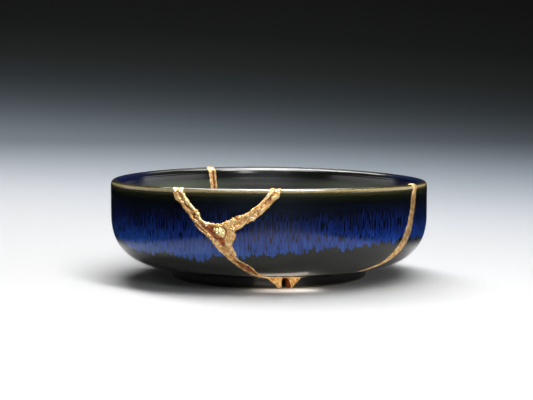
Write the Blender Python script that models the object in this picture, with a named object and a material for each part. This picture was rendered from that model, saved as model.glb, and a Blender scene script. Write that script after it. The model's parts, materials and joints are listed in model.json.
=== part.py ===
"""Kintsugi dish: a low round stoneware dish, broken into four shards and mended with gold lacquer.

The dish is drawn on a flat map, a disc as if the clay were unrolled. The middle of the disc is
the middle of the base, its edge is the crest of the rim, and the distance from the middle is the
way walked along the outside of the section. Breaks are lines on this disc. Each shard, and the
gold between the shards, is a patch of the disc that is lifted to the outer and to the inner face
and closed along its edge, so all pieces share one section and one hand-thrown unevenness.
"""

import math

import bmesh
import bpy
from mathutils import Vector
from mathutils.geometry import delaunay_2d_cdt

MM = 0.001

# Sizes of the thrown dish
OUTER_DIAMETER = 165.0 * MM
RIM_HEIGHT = 51.2 * MM
WALL = 4.4 * MM
SHOULDER_HEIGHT = 34.6 * MM
BELLY_ROUNDNESS = 2.5
FLOOR_HEIGHT = 11.0 * MM
LIP_ROUNDING = 2.5 * MM
CREST_INSET = 1.8 * MM

# Sizes of the foot ring
FOOT_DIAMETER = 102.6 * MM
FOOT_HEIGHT = 6.5 * MM
FOOT_WIDTH = 6.6 * MM
FOOT_CHAMFER = 0.8 * MM
FOOT_LEAN = 0.24 * MM
COVE_WIDTH = 0.72 * MM
COVE_DROP = 1.56 * MM
RECESS_DEPTH = 5.0 * MM

# Unevenness of the hand-thrown rim, which fades to nothing at the foot
RIM_LEAN = 0.44 * MM
RIM_SADDLE = 0.67 * MM
RIM_TWIST = 0.27 * MM

# The repair
FIT_GAP = 0.3 * MM
BEAD_HEIGHT = 0.45 * MM
BEAD_SHOULDER = 1.6 * MM
PIT_DEPTH = 1.5 * MM
PIT_RADIUS = 4.4 * MM
NUGGET_HEIGHT = 1.1 * MM
NUGGET_RADIUS = 2.9 * MM
FLAT_BELOW = 1.6 * MM
NOTCH_WIDTH = 4.7 * MM
NOTCH_HEIGHT = 5.6 * MM
NOTCH_ANGLE = -80.6

# The notch's outline from its upright side over the arch to its leaning side, as shares of half
# its width and of its height
NOTCH_OUTLINE = (
    (-0.92, 0.70),
    (-0.60, 1.00),
    (-0.05, 0.90),
    (0.45, 0.60),
    (0.85, 0.20),
)

# Fineness of the faceted solids
SEGMENTS = 60
BASE_SEGMENTS = 30
MEETING_SEGMENTS = 12
BUMP_SEGMENTS = 6
BASE_RINGS = 3
BELLY_RINGS = 9
WALL_RINGS = 2
LIP_RINGS = 3
LINE_STEPS = 2
BUMP_RING_SHARE = 0.62
RING_START = 0.5
MERGE_DISTANCE = 0.02 * MM
CREST_TOLERANCE = 0.005 * MM
SHARP_ANGLE = 40.0

# How much of the foot's upright sides counts in spacing the points of the floor above them
UPRIGHT_SHARE = 0.3

# The breaks, as points of (angle, level, width). The angle is in degrees from the dish's right
# side, -90 at the front. The level is 1 at the rim's crest, 0 at the top of the foot, -1 at the
# foot's inner side, and -2 in the middle of the base, as shares of the way between them along the
# outside. The width is of the gold. The seam on the right runs out under the belly into the wedge
# of the foot, and the other two reach the foot squarely and meet on the floor.
MEETING_POINT = (-107.0, -1.62, 4.0 * MM)

FRONT_SEAM = (
    (-123.0, 1.03, 5.4 * MM),
    (-122.0, 0.97, 5.3 * MM),
    (-120.4, 0.905, 5.4 * MM),
    (-117.0, 0.83, 5.2 * MM),
    (-114.2, 0.755, 4.8 * MM),
    (-111.0, 0.69, 5.4 * MM),
    (-107.6, 0.61, 5.6 * MM),
    (-105.0, 0.545, 5.4 * MM),
    (-103.2, 0.50, 4.8 * MM),
    (-100.4, 0.435, 4.9 * MM),
    (-97.7, 0.364, 4.6 * MM),
    (-95.2, 0.27, 2.9 * MM),
    (-91.5, 0.16, 2.6 * MM),
    (-86.0, 0.04, 4.0 * MM),
    (-82.0, -0.30, 4.0 * MM),
    (-82.0, -1.03, 4.0 * MM),
    (-90.0, -1.30, 3.6 * MM),
    MEETING_POINT,
)

FRONT_ARM = (
    (-86.9, 1.03, 5.2 * MM),
    (-88.2, 0.965, 4.8 * MM),
    (-90.0, 0.91, 4.2 * MM),
    (-94.2, 0.83, 4.4 * MM),
    (-97.6, 0.79, 4.6 * MM),
    (-101.5, 0.75, 5.0 * MM),
    (-105.5, 0.70, 6.0 * MM),
)

RIGHT_SEAM = (
    (-27.6, 1.03, 5.6 * MM),
    (-28.1, 0.96, 5.6 * MM),
    (-29.5, 0.86, 5.4 * MM),
    (-30.3, 0.79, 5.2 * MM),
    (-31.6, 0.725, 5.3 * MM),
    (-32.8, 0.66, 5.7 * MM),
    (-34.2, 0.565, 5.6 * MM),
    (-36.0, 0.50, 5.7 * MM),
    (-38.2, 0.44, 5.2 * MM),
    (-40.8, 0.38, 4.0 * MM),
    (-44.0, 0.325, 2.8 * MM),
    (-46.6, 0.28, 2.0 * MM),
    (-49.0, 0.24, 1.7 * MM),
    (-52.2, 0.20, 1.7 * MM),
    (-56.0, 0.165, 1.8 * MM),
    (-61.0, 0.13, 1.9 * MM),
    (-66.5, 0.10, 2.0 * MM),
    (-71.5, 0.08, 2.2 * MM),
    (-76.5, 0.06, 2.6 * MM),
)

BACK_SEAM = (
    (114.8, 1.03, 4.6 * MM),
    (114.4, 0.95, 4.6 * MM),
    (113.6, 0.80, 4.4 * MM),
    (113.2, 0.60, 4.0 * MM),
    (114.6, 0.40, 3.6 * MM),
    (117.0, 0.20, 3.2 * MM),
    (119.4, 0.04, 3.2 * MM),
    (120.0, -0.30, 3.0 * MM),
    (120.0, -1.03, 3.0 * MM),
    (131.0, -1.32, 3.0 * MM),
    (164.0, -1.68, 3.4 * MM),
    MEETING_POINT,
)

# Broader fills, as outlines of (angle, level): the knot where the arms of the Y meet, and the
# wedge of foot ring that was lost and filled
KNOT_OUTLINE = (
    (-113.0, 0.745),
    (-108.6, 0.742),
    (-104.6, 0.760),
    (-98.6, 0.742),
    (-100.7, 0.700),
    (-101.0, 0.655),
    (-102.3, 0.590),
    (-101.8, 0.545),
    (-106.6, 0.530),
    (-108.9, 0.594),
    (-113.3, 0.700),
)
FOOT_OUTLINE = (
    (-93.4, 0.06),
    (-87.0, 0.085),
    (-80.0, 0.09),
    (-70.2, 0.06),
    (-71.6, -0.03),
    (-76.2, -0.35),
    (-76.8, -0.70),
    (-77.4, -1.00),
    (-80.0, -1.12),
    (-84.0, -1.12),
    (-86.6, -1.00),
    (-86.0, -0.70),
    (-85.3, -0.35),
    (-92.2, -0.03),
)
PIT_PLACE = (-108.4, 0.685)
NUGGET_PLACE = (-105.0, 0.635)

# Each shard's name, and an angle at which it reaches the level that shards are known by
SHARD_LEVEL = 0.97
SHARDS = (
    ("front_shard", -105.0),
    ("left_shard", 180.0),
    ("right_shard", -60.0),
    ("back_shard", 40.0),
)


def clear_scene():
    """Remove every object that the file starts with."""
    for item in list(bpy.data.objects):
        bpy.data.objects.remove(item, do_unlink=True)


def belly_point(turn, reach, drop, foot_radius):
    """A point of the belly's superellipse, at a turn from 0 at the shoulder to a right angle."""
    out = math.cos(turn) ** (2.0 / BELLY_ROUNDNESS)
    down = math.sin(turn) ** (2.0 / BELLY_ROUNDNESS)
    return (foot_radius + reach * out, SHOULDER_HEIGHT - drop * down)


def base_path():
    """The outside of the base, from its middle over the recess and the foot ring to the belly."""
    foot = FOOT_DIAMETER / 2.0
    recess = foot - FOOT_WIDTH
    flat_radius = recess - FOOT_CHAMFER
    flat = [(flat_radius * step / BASE_RINGS, RECESS_DEPTH) for step in range(BASE_RINGS + 1)]
    ring = [
        (recess, RECESS_DEPTH - FOOT_CHAMFER),
        (recess, FOOT_CHAMFER),
        (recess + FOOT_CHAMFER, 0.0),
        (foot - FOOT_LEAN - FOOT_CHAMFER, 0.0),
        (foot - FOOT_LEAN, FOOT_CHAMFER),
        (foot, FOOT_HEIGHT - COVE_DROP),
        (foot + COVE_WIDTH / 3.0, FOOT_HEIGHT - COVE_DROP / 3.0),
        (foot + COVE_WIDTH, FOOT_HEIGHT),
    ]
    return flat + ring


def path_length(path, upright=1.0):
    """The length of a path of points, with its rises and falls counted at a share."""
    total = 0.0
    for before, after in zip(path[:-1], path[1:]):
        total += math.hypot(after[0] - before[0], (after[1] - before[1]) * upright)
    return total


def section():
    """Pairs of points, outside and inside, from the middle of the base to the crest of the rim."""
    base = base_path()
    ring = base[BASE_RINGS:]
    ring_start = ring[0][0]
    belly_start = ring[-1][0]
    ring_length = path_length(ring, UPRIGHT_SHARE)
    outer_radius = OUTER_DIAMETER / 2.0
    pairs = [(outside, (outside[0], FLOOR_HEIGHT)) for outside in base[:BASE_RINGS]]
    for count, outside in enumerate(ring, start=1):
        share = path_length(ring[:count], UPRIGHT_SHARE) / ring_length
        pairs.append((outside, (ring_start + (belly_start - ring_start) * share, FLOOR_HEIGHT)))

    # The belly and the upright wall
    right_angle = math.pi / 2.0
    outer_reach = outer_radius - belly_start
    for step in range(1, BELLY_RINGS + 1):
        turn = right_angle * (1.0 - step / BELLY_RINGS)
        outside = belly_point(turn, outer_reach, SHOULDER_HEIGHT - FOOT_HEIGHT, belly_start)
        inside = belly_point(turn, outer_reach - WALL, SHOULDER_HEIGHT - FLOOR_HEIGHT, belly_start)
        pairs.append((outside, inside))
    lip_start = RIM_HEIGHT - LIP_ROUNDING
    for step in range(1, WALL_RINGS + 1):
        height = SHOULDER_HEIGHT + (lip_start - SHOULDER_HEIGHT) * step / WALL_RINGS
        pairs.append(((outer_radius, height), (outer_radius - WALL, height)))

    # The rounded lip, up to the crest where both faces meet
    crest_radius = outer_radius - CREST_INSET
    for step in range(1, LIP_RINGS + 1):
        turn = right_angle * step / LIP_RINGS
        height = lip_start + LIP_ROUNDING * math.sin(turn)
        outside = (crest_radius + CREST_INSET * math.cos(turn), height)
        inside = (crest_radius - (WALL - CREST_INSET) * math.cos(turn), height)
        pairs.append((outside, inside))
    return pairs


PAIRS = section()


def walks():
    """How far each pair of the section lies from the middle, along the outside."""
    total = 0.0
    result = [0.0]
    for before, after in zip(PAIRS[:-1], PAIRS[1:]):
        total += math.dist(before[0], after[0])
        result.append(total)
    return result


WALKS = walks()
RIM_WALK = WALKS[-1]
FOOT_WALK = path_length(base_path())
RECESS_WALK = path_length(base_path()[:BASE_RINGS + 1])


def on_section(walk):
    """The span of the section that holds a walk, and the share of the way through that span."""
    last = len(WALKS) - 2
    for index in range(last + 1):
        if walk <= WALKS[index + 1] or index == last:
            share = (walk - WALKS[index]) / (WALKS[index + 1] - WALKS[index])
            return index, min(max(share, 0.0), 1.0)
    return last, 1.0


def face_point(walk, face):
    """Radius and height on one face (0 outside, 1 inside), and the direction away from the clay."""
    index, share = on_section(walk)
    start = PAIRS[index][face]
    end = PAIRS[index + 1][face]
    radius = start[0] + (end[0] - start[0]) * share
    height = start[1] + (end[1] - start[1]) * share
    before = PAIRS[max(index - 1, 0) if share < 0.5 else index][face]
    after = PAIRS[index + 1 if share < 0.5 else min(index + 2, len(PAIRS) - 1)][face]
    along = Vector((after[0] - before[0], after[1] - before[1])).normalized()
    away = Vector((along.y, -along.x)) if face == 0 else Vector((-along.y, along.x))
    if walk > RIM_WALK - CREST_TOLERANCE:
        away = Vector((0.0, 1.0))
    return radius, height, away


def uneven(angle, radius, height):
    """How much the hand-thrown rim stands above or below true at a place."""
    fade = (height / RIM_HEIGHT) ** 2
    out = radius / (OUTER_DIAMETER / 2.0)
    lean = -RIM_LEAN * math.cos(angle) * out
    saddle = -(RIM_SADDLE * math.cos(2.0 * angle) + RIM_TWIST * math.sin(2.0 * angle)) * out * out
    return fade * (lean + saddle)


def lift(spot, face, raised):
    """The place in space of a spot of the flat map, raised off the outer or inner face."""
    walk = min(spot.length, RIM_WALK)
    angle = math.atan2(spot.y, spot.x)
    radius, height, away = face_point(walk, face)
    radius += away.x * raised
    height += away.y * raised
    height += uneven(angle, radius, height)
    return (radius * math.cos(angle), radius * math.sin(angle), height)


def walk_at(level):
    """The walk from the middle for a level: 1 at the rim, 0 and -1 at the foot, -2 in the middle."""
    if level >= 0.0:
        return FOOT_WALK + level * (RIM_WALK - FOOT_WALK)
    if level >= -1.0:
        return FOOT_WALK + level * (FOOT_WALK - RECESS_WALK)
    return RECESS_WALK * (2.0 + level)


def on_map(angle, level):
    """A spot of the flat map from an angle in degrees and a level."""
    turn = math.radians(angle)
    return Vector((math.cos(turn), math.sin(turn))) * walk_at(level)


def stretch(spot):
    """How much wider the map is than the clay, across the way to the middle."""
    walk = min(spot.length, RIM_WALK)
    return walk / face_point(walk, 0)[0] if walk > MERGE_DISTANCE else 1.0


def sideways(spot, along, distance):
    """A step on the map of a true distance on the clay, square to a direction."""
    outward = spot.normalized()
    around = Vector((-outward.y, outward.x))
    wide = stretch(spot)
    true_along = Vector((along.dot(around) / wide, along.dot(outward))).normalized()
    step = Vector((-true_along.y, true_along.x)) * distance
    return around * step.x * wide + outward * step.y


def smooth_line(points):
    """A Catmull-Rom curve through the points, as spots with widths."""
    knots = [(on_map(angle, level), width) for angle, level, width in points]
    knots = [knots[0]] + knots + [knots[-1]]
    line = []
    for index in range(1, len(knots) - 2):
        before, start, end, after = knots[index - 1:index + 3]
        for step in range(LINE_STEPS):
            t = step / LINE_STEPS
            spot = (
                2.0 * start[0]
                + (end[0] - before[0]) * t
                + (2.0 * before[0] - 5.0 * start[0] + 4.0 * end[0] - after[0]) * t * t
                + (3.0 * start[0] - before[0] - 3.0 * end[0] + after[0]) * t ** 3
            ) / 2.0
            line.append((spot, start[1] + (end[1] - start[1]) * t))
    line.append(knots[-2])
    return line


def strip(line, margin):
    """The outline of a line with its width, made wider by a margin on each side."""
    left = []
    right = []
    for index, (spot, width) in enumerate(line):
        before = line[max(index - 1, 0)][0]
        after = line[min(index + 1, len(line) - 1)][0]
        step = sideways(spot, (after - before).normalized(), width / 2.0 + margin)
        left.append(spot + step)
        right.append(spot - step)
    ahead = (line[-1][0] - line[-2][0]).normalized() * margin
    left[-1] = left[-1] + ahead
    right[-1] = right[-1] + ahead
    return left + right[::-1]


def grown(outline, margin):
    """An outline given as angles and levels, moved outwards by a true distance."""
    spots = [on_map(angle, level) for angle, level in outline]
    middle = sum(spots, Vector((0.0, 0.0))) / len(spots)
    result = []
    for index, spot in enumerate(spots):
        after = spots[(index + 1) % len(spots)]
        along = (after - spots[index - 1]).normalized()
        step = sideways(spot, along, margin)
        if step.dot(spot - middle) < 0.0:
            step = -step
        result.append(spot + step)
    return result


def seams():
    """The centre lines of the four seams."""
    return [smooth_line(points) for points in (FRONT_SEAM, FRONT_ARM, RIGHT_SEAM, BACK_SEAM)]


def circle(centre, radius, corners, start=0.0):
    """Evenly spaced spots on a circle, the first at a share of one step round."""
    turns = [2.0 * math.pi * (corner + start) / corners for corner in range(corners)]
    return [centre + Vector((math.cos(turn), math.sin(turn))) * radius for turn in turns]


def repair_outlines(margin):
    """Outlines that together cover the gold, made wider by a margin."""
    outlines = [strip(line, margin) for line in seams()]
    outlines.append(grown(KNOT_OUTLINE, margin))
    outlines.append(grown(FOOT_OUTLINE, margin))
    outlines.append(meeting_disc(margin))
    return outlines


def meeting_disc(margin):
    """A round joint between the two lines of gold that meet on the floor."""
    centre = on_map(MEETING_POINT[0], MEETING_POINT[1])
    return circle(centre, MEETING_POINT[2] / 2.0 + margin, MEETING_SEGMENTS)


def grain_spots():
    """Extra spots in the knot, so that its pit and its nugget have points to bend at."""
    spots = []
    for place, radius in ((PIT_PLACE, PIT_RADIUS), (NUGGET_PLACE, NUGGET_RADIUS)):
        centre = on_map(place[0], place[1])
        spots.append(centre)
        spots.extend(circle(centre, radius * BUMP_RING_SHARE, BUMP_SEGMENTS))
    return spots


def rounded(spot):
    """A spot, moved out to the circle of the crest if it lies on a straight side of that ring."""
    half_step = math.pi / SEGMENTS
    turn = math.atan2(spot.y, spot.x) % (2.0 * half_step) - half_step
    side = RIM_WALK * math.cos(half_step) / math.cos(half_step - abs(turn))
    return spot.normalized() * RIM_WALK if abs(spot.length - side) < CREST_TOLERANCE else spot


def triangulate():
    """Cut the map into triangles along its rings and all outlines, with what each lies in."""
    spots = [Vector((0.0, 0.0))]
    edges = []
    rings = []
    for count, walk in enumerate(WALKS[1:], start=1):
        corners = SEGMENTS if count >= BASE_RINGS else BASE_SEGMENTS
        first = len(spots)
        spots.extend(circle(spots[0], walk, corners, RING_START))
        ring = list(range(first, len(spots)))
        rings.append(ring)
        edges.extend(zip(ring, ring[1:] + ring[:1]))
    areas = [rings[-1]]
    gold = repair_outlines(0.0)
    gaps = repair_outlines(FIT_GAP)
    for outline in gold + gaps:
        first = len(spots)
        spots.extend(outline)
        areas.append(list(range(first, len(spots))))
    for line in seams():
        first = len(spots)
        spots.extend(spot for spot, width in line)
        edges.extend((index, index + 1) for index in range(first, len(spots) - 1))
    spots.extend(grain_spots())
    found = delaunay_2d_cdt(spots, edges, areas, 1, MERGE_DISTANCE, True)
    verts = [rounded(spot) for spot in found[0]]
    triangles, inside = found[2], found[5]
    kinds = []
    for owners in inside:
        if 0 not in owners:
            kinds.append("outside")
        elif any(1 <= owner <= len(gold) for owner in owners):
            kinds.append("gold")
        elif any(owner > len(gold) for owner in owners):
            kinds.append("gap")
        else:
            kinds.append("clay")
    return verts, triangles, kinds


def patches(triangles, kinds, wanted):
    """Groups of triangles of one kind that hang together by their edges, largest first."""
    by_edge = {}
    for index, corners in enumerate(triangles):
        if kinds[index] != wanted:
            continue
        for start, end in zip(corners, corners[1:] + corners[:1]):
            by_edge.setdefault(frozenset((start, end)), []).append(index)
    neighbours = {}
    for group in by_edge.values():
        for index in group:
            neighbours.setdefault(index, set()).update(group)
    groups = []
    left = set(neighbours)
    while left:
        reached = {left.pop()}
        edge = set(reached)
        while edge:
            edge = set().union(*(neighbours[index] for index in edge)) - reached
            reached |= edge
        left -= reached
        groups.append(sorted(reached))
    return sorted(groups, key=len, reverse=True)


def patch_mesh(name, verts, triangles, members, raise_at):
    """A closed mesh from a patch of the map, lifted to both faces and walled along its edge."""
    corners_used = sorted({corner for index in members for corner in triangles[index]})
    points = []
    outer = {}
    inner = {}
    for corner in corners_used:
        spot = verts[corner]
        outer[corner] = len(points)
        points.append(lift(spot, 0, raise_at(corner, 0)))
        if is_crest(spot):
            inner[corner] = outer[corner]
            continue
        inner[corner] = len(points)
        points.append(lift(spot, 1, raise_at(corner, 1)))
    faces = []
    for index in members:
        corners = triangles[index]
        faces.append([outer[corner] for corner in reversed(corners)])
        faces.append([inner[corner] for corner in corners])
    for start, end in border_edges(triangles, members):
        faces.extend(wall_faces(start, end, verts, outer, inner))
    return closed_mesh(name, points, faces)


def closed_mesh(name, points, faces):
    """A mesh with its faces turned outwards."""
    mesh = bpy.data.meshes.new(name)
    mesh.from_pydata(points, [], faces)
    body = bmesh.new()
    body.from_mesh(mesh)
    bmesh.ops.recalc_face_normals(body, faces=body.faces[:])
    body.to_mesh(mesh)
    body.free()
    return mesh


def wall_faces(start, end, verts, outer, inner):
    """The wall under one piece of a patch's edge, cut along the same diagonal from either side."""
    if verts[start].length < verts[end].length:
        wall = [(outer[start], outer[end], inner[start]), (outer[end], inner[end], inner[start])]
    else:
        wall = [(outer[start], outer[end], inner[end]), (outer[start], inner[end], inner[start])]
    return [corners for corners in wall if len(set(corners)) == 3]


def is_crest(spot):
    """Whether a spot lies on the crest of the rim, where the outer and the inner face meet."""
    return spot.length > RIM_WALK - CREST_TOLERANCE


def border_edges(triangles, members):
    """The straight pieces of a patch's edge, as pairs of corners."""
    border = {}
    for index in members:
        corners = triangles[index]
        for start, end in zip(corners, corners[1:] + corners[:1]):
            if (end, start) in border:
                del border[(end, start)]
            else:
                border[(start, end)] = True
    return list(border)


def bead_height(spot, border):
    """How far the gold stands proud: nothing at its edge, and its full height a little way in."""
    nearest = BEAD_SHOULDER
    for start, end in border:
        span = end - start
        share = min(max((spot - start).dot(span) / span.length_squared, 0.0), 1.0)
        nearest = min(nearest, (spot - start - span * share).length)
    share = nearest / BEAD_SHOULDER
    return BEAD_HEIGHT * (1.0 - (1.0 - share) ** 2)


def bump(spot, place, radius, height):
    """A round rise or hollow: the full height in its middle and nothing from its radius on."""
    share = (spot - on_map(place[0], place[1])).length / (radius * stretch(spot))
    return height * (1.0 - share * share) ** 2 if share < 1.0 else 0.0


def gold_mesh(verts, triangles, members):
    """The network of gold, crowned on both faces, with the knot's pit and nugget outside."""
    border = []
    for start, end in border_edges(triangles, members):
        if not (is_crest(verts[start]) and is_crest(verts[end])):
            border.append((verts[start], verts[end]))
    crown = {}
    for corner in {corner for index in members for corner in triangles[index]}:
        crown[corner] = bead_height(verts[corner], border)

    def raise_at(corner, face):
        raised = crown[corner]
        if face == 1 or raised < MERGE_DISTANCE:
            return raised
        if face_point(verts[corner].length, 0)[1] < FLAT_BELOW:
            return 0.0
        pit = bump(verts[corner], PIT_PLACE, PIT_RADIUS, -PIT_DEPTH)
        return raised + pit + bump(verts[corner], NUGGET_PLACE, NUGGET_RADIUS, NUGGET_HEIGHT)

    return patch_mesh("gold_repair", verts, triangles, members, raise_at)


def principled(name, colour, roughness, metallic):
    """A material with one colour, roughness and metallic value."""
    material = bpy.data.materials.new(name)
    material.use_nodes = True
    shader = material.node_tree.nodes["Principled BSDF"]
    shader.inputs["Base Color"].default_value = (*colour, 1.0)
    shader.inputs["Roughness"].default_value = roughness
    shader.inputs["Metallic"].default_value = metallic
    return material


def glaze_material(name):
    """Dark iron glaze, glossy."""
    return principled(name + "_glaze", (0.022, 0.026, 0.032), 0.12, 0.0)


def gold_material():
    """Gold powder on lacquer."""
    return principled("gold_lacquer", (0.78, 0.55, 0.24), 0.38, 1.0)


def add_object(name, mesh, material):
    """Put a mesh in the scene, shaded smooth except over sharp edges."""
    mesh.materials.append(material)
    mesh.shade_smooth()
    mesh.set_sharp_from_angle(angle=math.radians(SHARP_ANGLE))
    item = bpy.data.objects.new(name, mesh)
    bpy.context.scene.collection.objects.link(item)
    return item


def notch_cutter():
    """The arched notch of the foot: a prism with one upright and one leaning side, run outwards."""
    half = NOTCH_WIDTH / 2.0
    arch = [(half * across, NOTCH_HEIGHT * up) for across, up in NOTCH_OUTLINE]
    outline = [(-half, -FOOT_CHAMFER)] + arch + [(half, -FOOT_CHAMFER)]
    turn = math.radians(NOTCH_ANGLE)
    outward = Vector((math.cos(turn), math.sin(turn), 0.0))
    around = Vector((-outward.y, outward.x, 0.0))
    foot = FOOT_DIAMETER / 2.0
    points = []
    for radius in (foot - FOOT_WIDTH - FOOT_CHAMFER, foot + COVE_DROP):
        for across, height in outline:
            point = outward * radius + around * across
            points.append((point.x, point.y, height))
    count = len(outline)
    faces = [tuple(range(count - 1, -1, -1)), tuple(range(count, 2 * count))]
    for index in range(count):
        after = (index + 1) % count
        faces.append((index, after, after + count, index + count))
    mesh = closed_mesh("foot_notch_cutter", points, faces)
    cutter = bpy.data.objects.new("foot_notch_cutter", mesh)
    bpy.context.scene.collection.objects.link(cutter)
    cutter.hide_render = True
    cutter.display_type = "WIRE"
    return cutter


def make_shards(verts, triangles, kinds):
    """The four shards, each named by where it reaches the rim."""
    groups = patches(triangles, kinds, "clay")
    for name, angle in SHARDS:
        mark = on_map(angle, SHARD_LEVEL)
        distances = []
        for group in groups:
            distances.append(min((verts[triangles[index][0]] - mark).length for index in group))
        members = groups[distances.index(min(distances))]
        mesh = patch_mesh(name, verts, triangles, members, lambda corner, face: 0.0)
        add_object(name, mesh, glaze_material(name))


def make_gold(verts, triangles, kinds):
    """The gold network with its notch cut through the foot."""
    members = patches(triangles, kinds, "gold")[0]
    repair = add_object("gold_repair", gold_mesh(verts, triangles, members), gold_material())
    cut = repair.modifiers.new("foot_notch", "BOOLEAN")
    cut.operation = "DIFFERENCE"
    cut.solver = "EXACT"
    cut.object = notch_cutter()


def main():
    clear_scene()
    verts, triangles, kinds = triangulate()
    make_shards(verts, triangles, kinds)
    make_gold(verts, triangles, kinds)


main()
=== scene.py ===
import json
import math

import bmesh
import bpy
import numpy as np
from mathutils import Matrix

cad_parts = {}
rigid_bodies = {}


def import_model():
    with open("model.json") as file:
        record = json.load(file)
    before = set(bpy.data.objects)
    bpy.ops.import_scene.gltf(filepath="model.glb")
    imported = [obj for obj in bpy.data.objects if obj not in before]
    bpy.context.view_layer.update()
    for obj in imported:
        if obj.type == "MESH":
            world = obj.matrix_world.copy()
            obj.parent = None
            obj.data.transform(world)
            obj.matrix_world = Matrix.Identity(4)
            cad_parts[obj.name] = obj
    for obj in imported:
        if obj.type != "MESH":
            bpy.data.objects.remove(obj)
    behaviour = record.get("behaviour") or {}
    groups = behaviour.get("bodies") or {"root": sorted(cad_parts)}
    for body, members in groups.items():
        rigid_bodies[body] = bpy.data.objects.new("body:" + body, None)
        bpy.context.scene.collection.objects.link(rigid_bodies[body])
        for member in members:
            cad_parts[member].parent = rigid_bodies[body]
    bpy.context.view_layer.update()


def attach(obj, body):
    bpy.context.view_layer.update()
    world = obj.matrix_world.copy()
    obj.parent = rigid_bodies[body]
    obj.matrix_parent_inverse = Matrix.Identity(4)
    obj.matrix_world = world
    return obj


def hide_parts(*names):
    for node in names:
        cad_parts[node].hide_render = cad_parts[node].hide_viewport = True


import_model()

MM = 0.001

# The section of the dish, in millimetres, as the solids have it

OUTER_RADIUS = 82.5
RIM_HEIGHT = 51.2
WALL = 4.4
SHOULDER_HEIGHT = 34.6
BELLY_ROUNDNESS = 2.5
FLOOR_HEIGHT = 11.0
LIP_ROUNDING = 2.5
CREST_INSET = 1.8
FOOT_RADIUS = 51.3
FOOT_HEIGHT = 6.5
RECESS_RADIUS = 44.7
FOOT_CHAMFER = 0.8
FOOT_LEAN = 0.24
COVE_WIDTH = 0.72
COVE_DROP = 1.56
RECESS_DEPTH = 5.0
UPRIGHT_SHARE = 0.3
FOOT_TOP_DROP = 65.35
RIM_LEAN = 0.44
RIM_SADDLE = 0.67
RIM_TWIST = 0.27
# places on each of the solids' straight pieces, on the whole section, and in the rounding of a corner
KNOT_STEPS = 24
SECTION_PLACES = 5001
CORNER_PLACES = 13


def belly(turn, reach, drop):
    """Radius and height of the belly, a superellipse: cosine and sine of the turn, each to the power of
    2 / roundness."""
    power = 2.0 / BELLY_ROUNDNESS
    out = np.clip(np.cos(turn), 0.0, 1.0) ** power
    down = np.clip(np.sin(turn), 0.0, 1.0) ** power
    return FOOT_RADIUS + COVE_WIDTH + reach * out, SHOULDER_HEIGHT - drop * down


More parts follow.
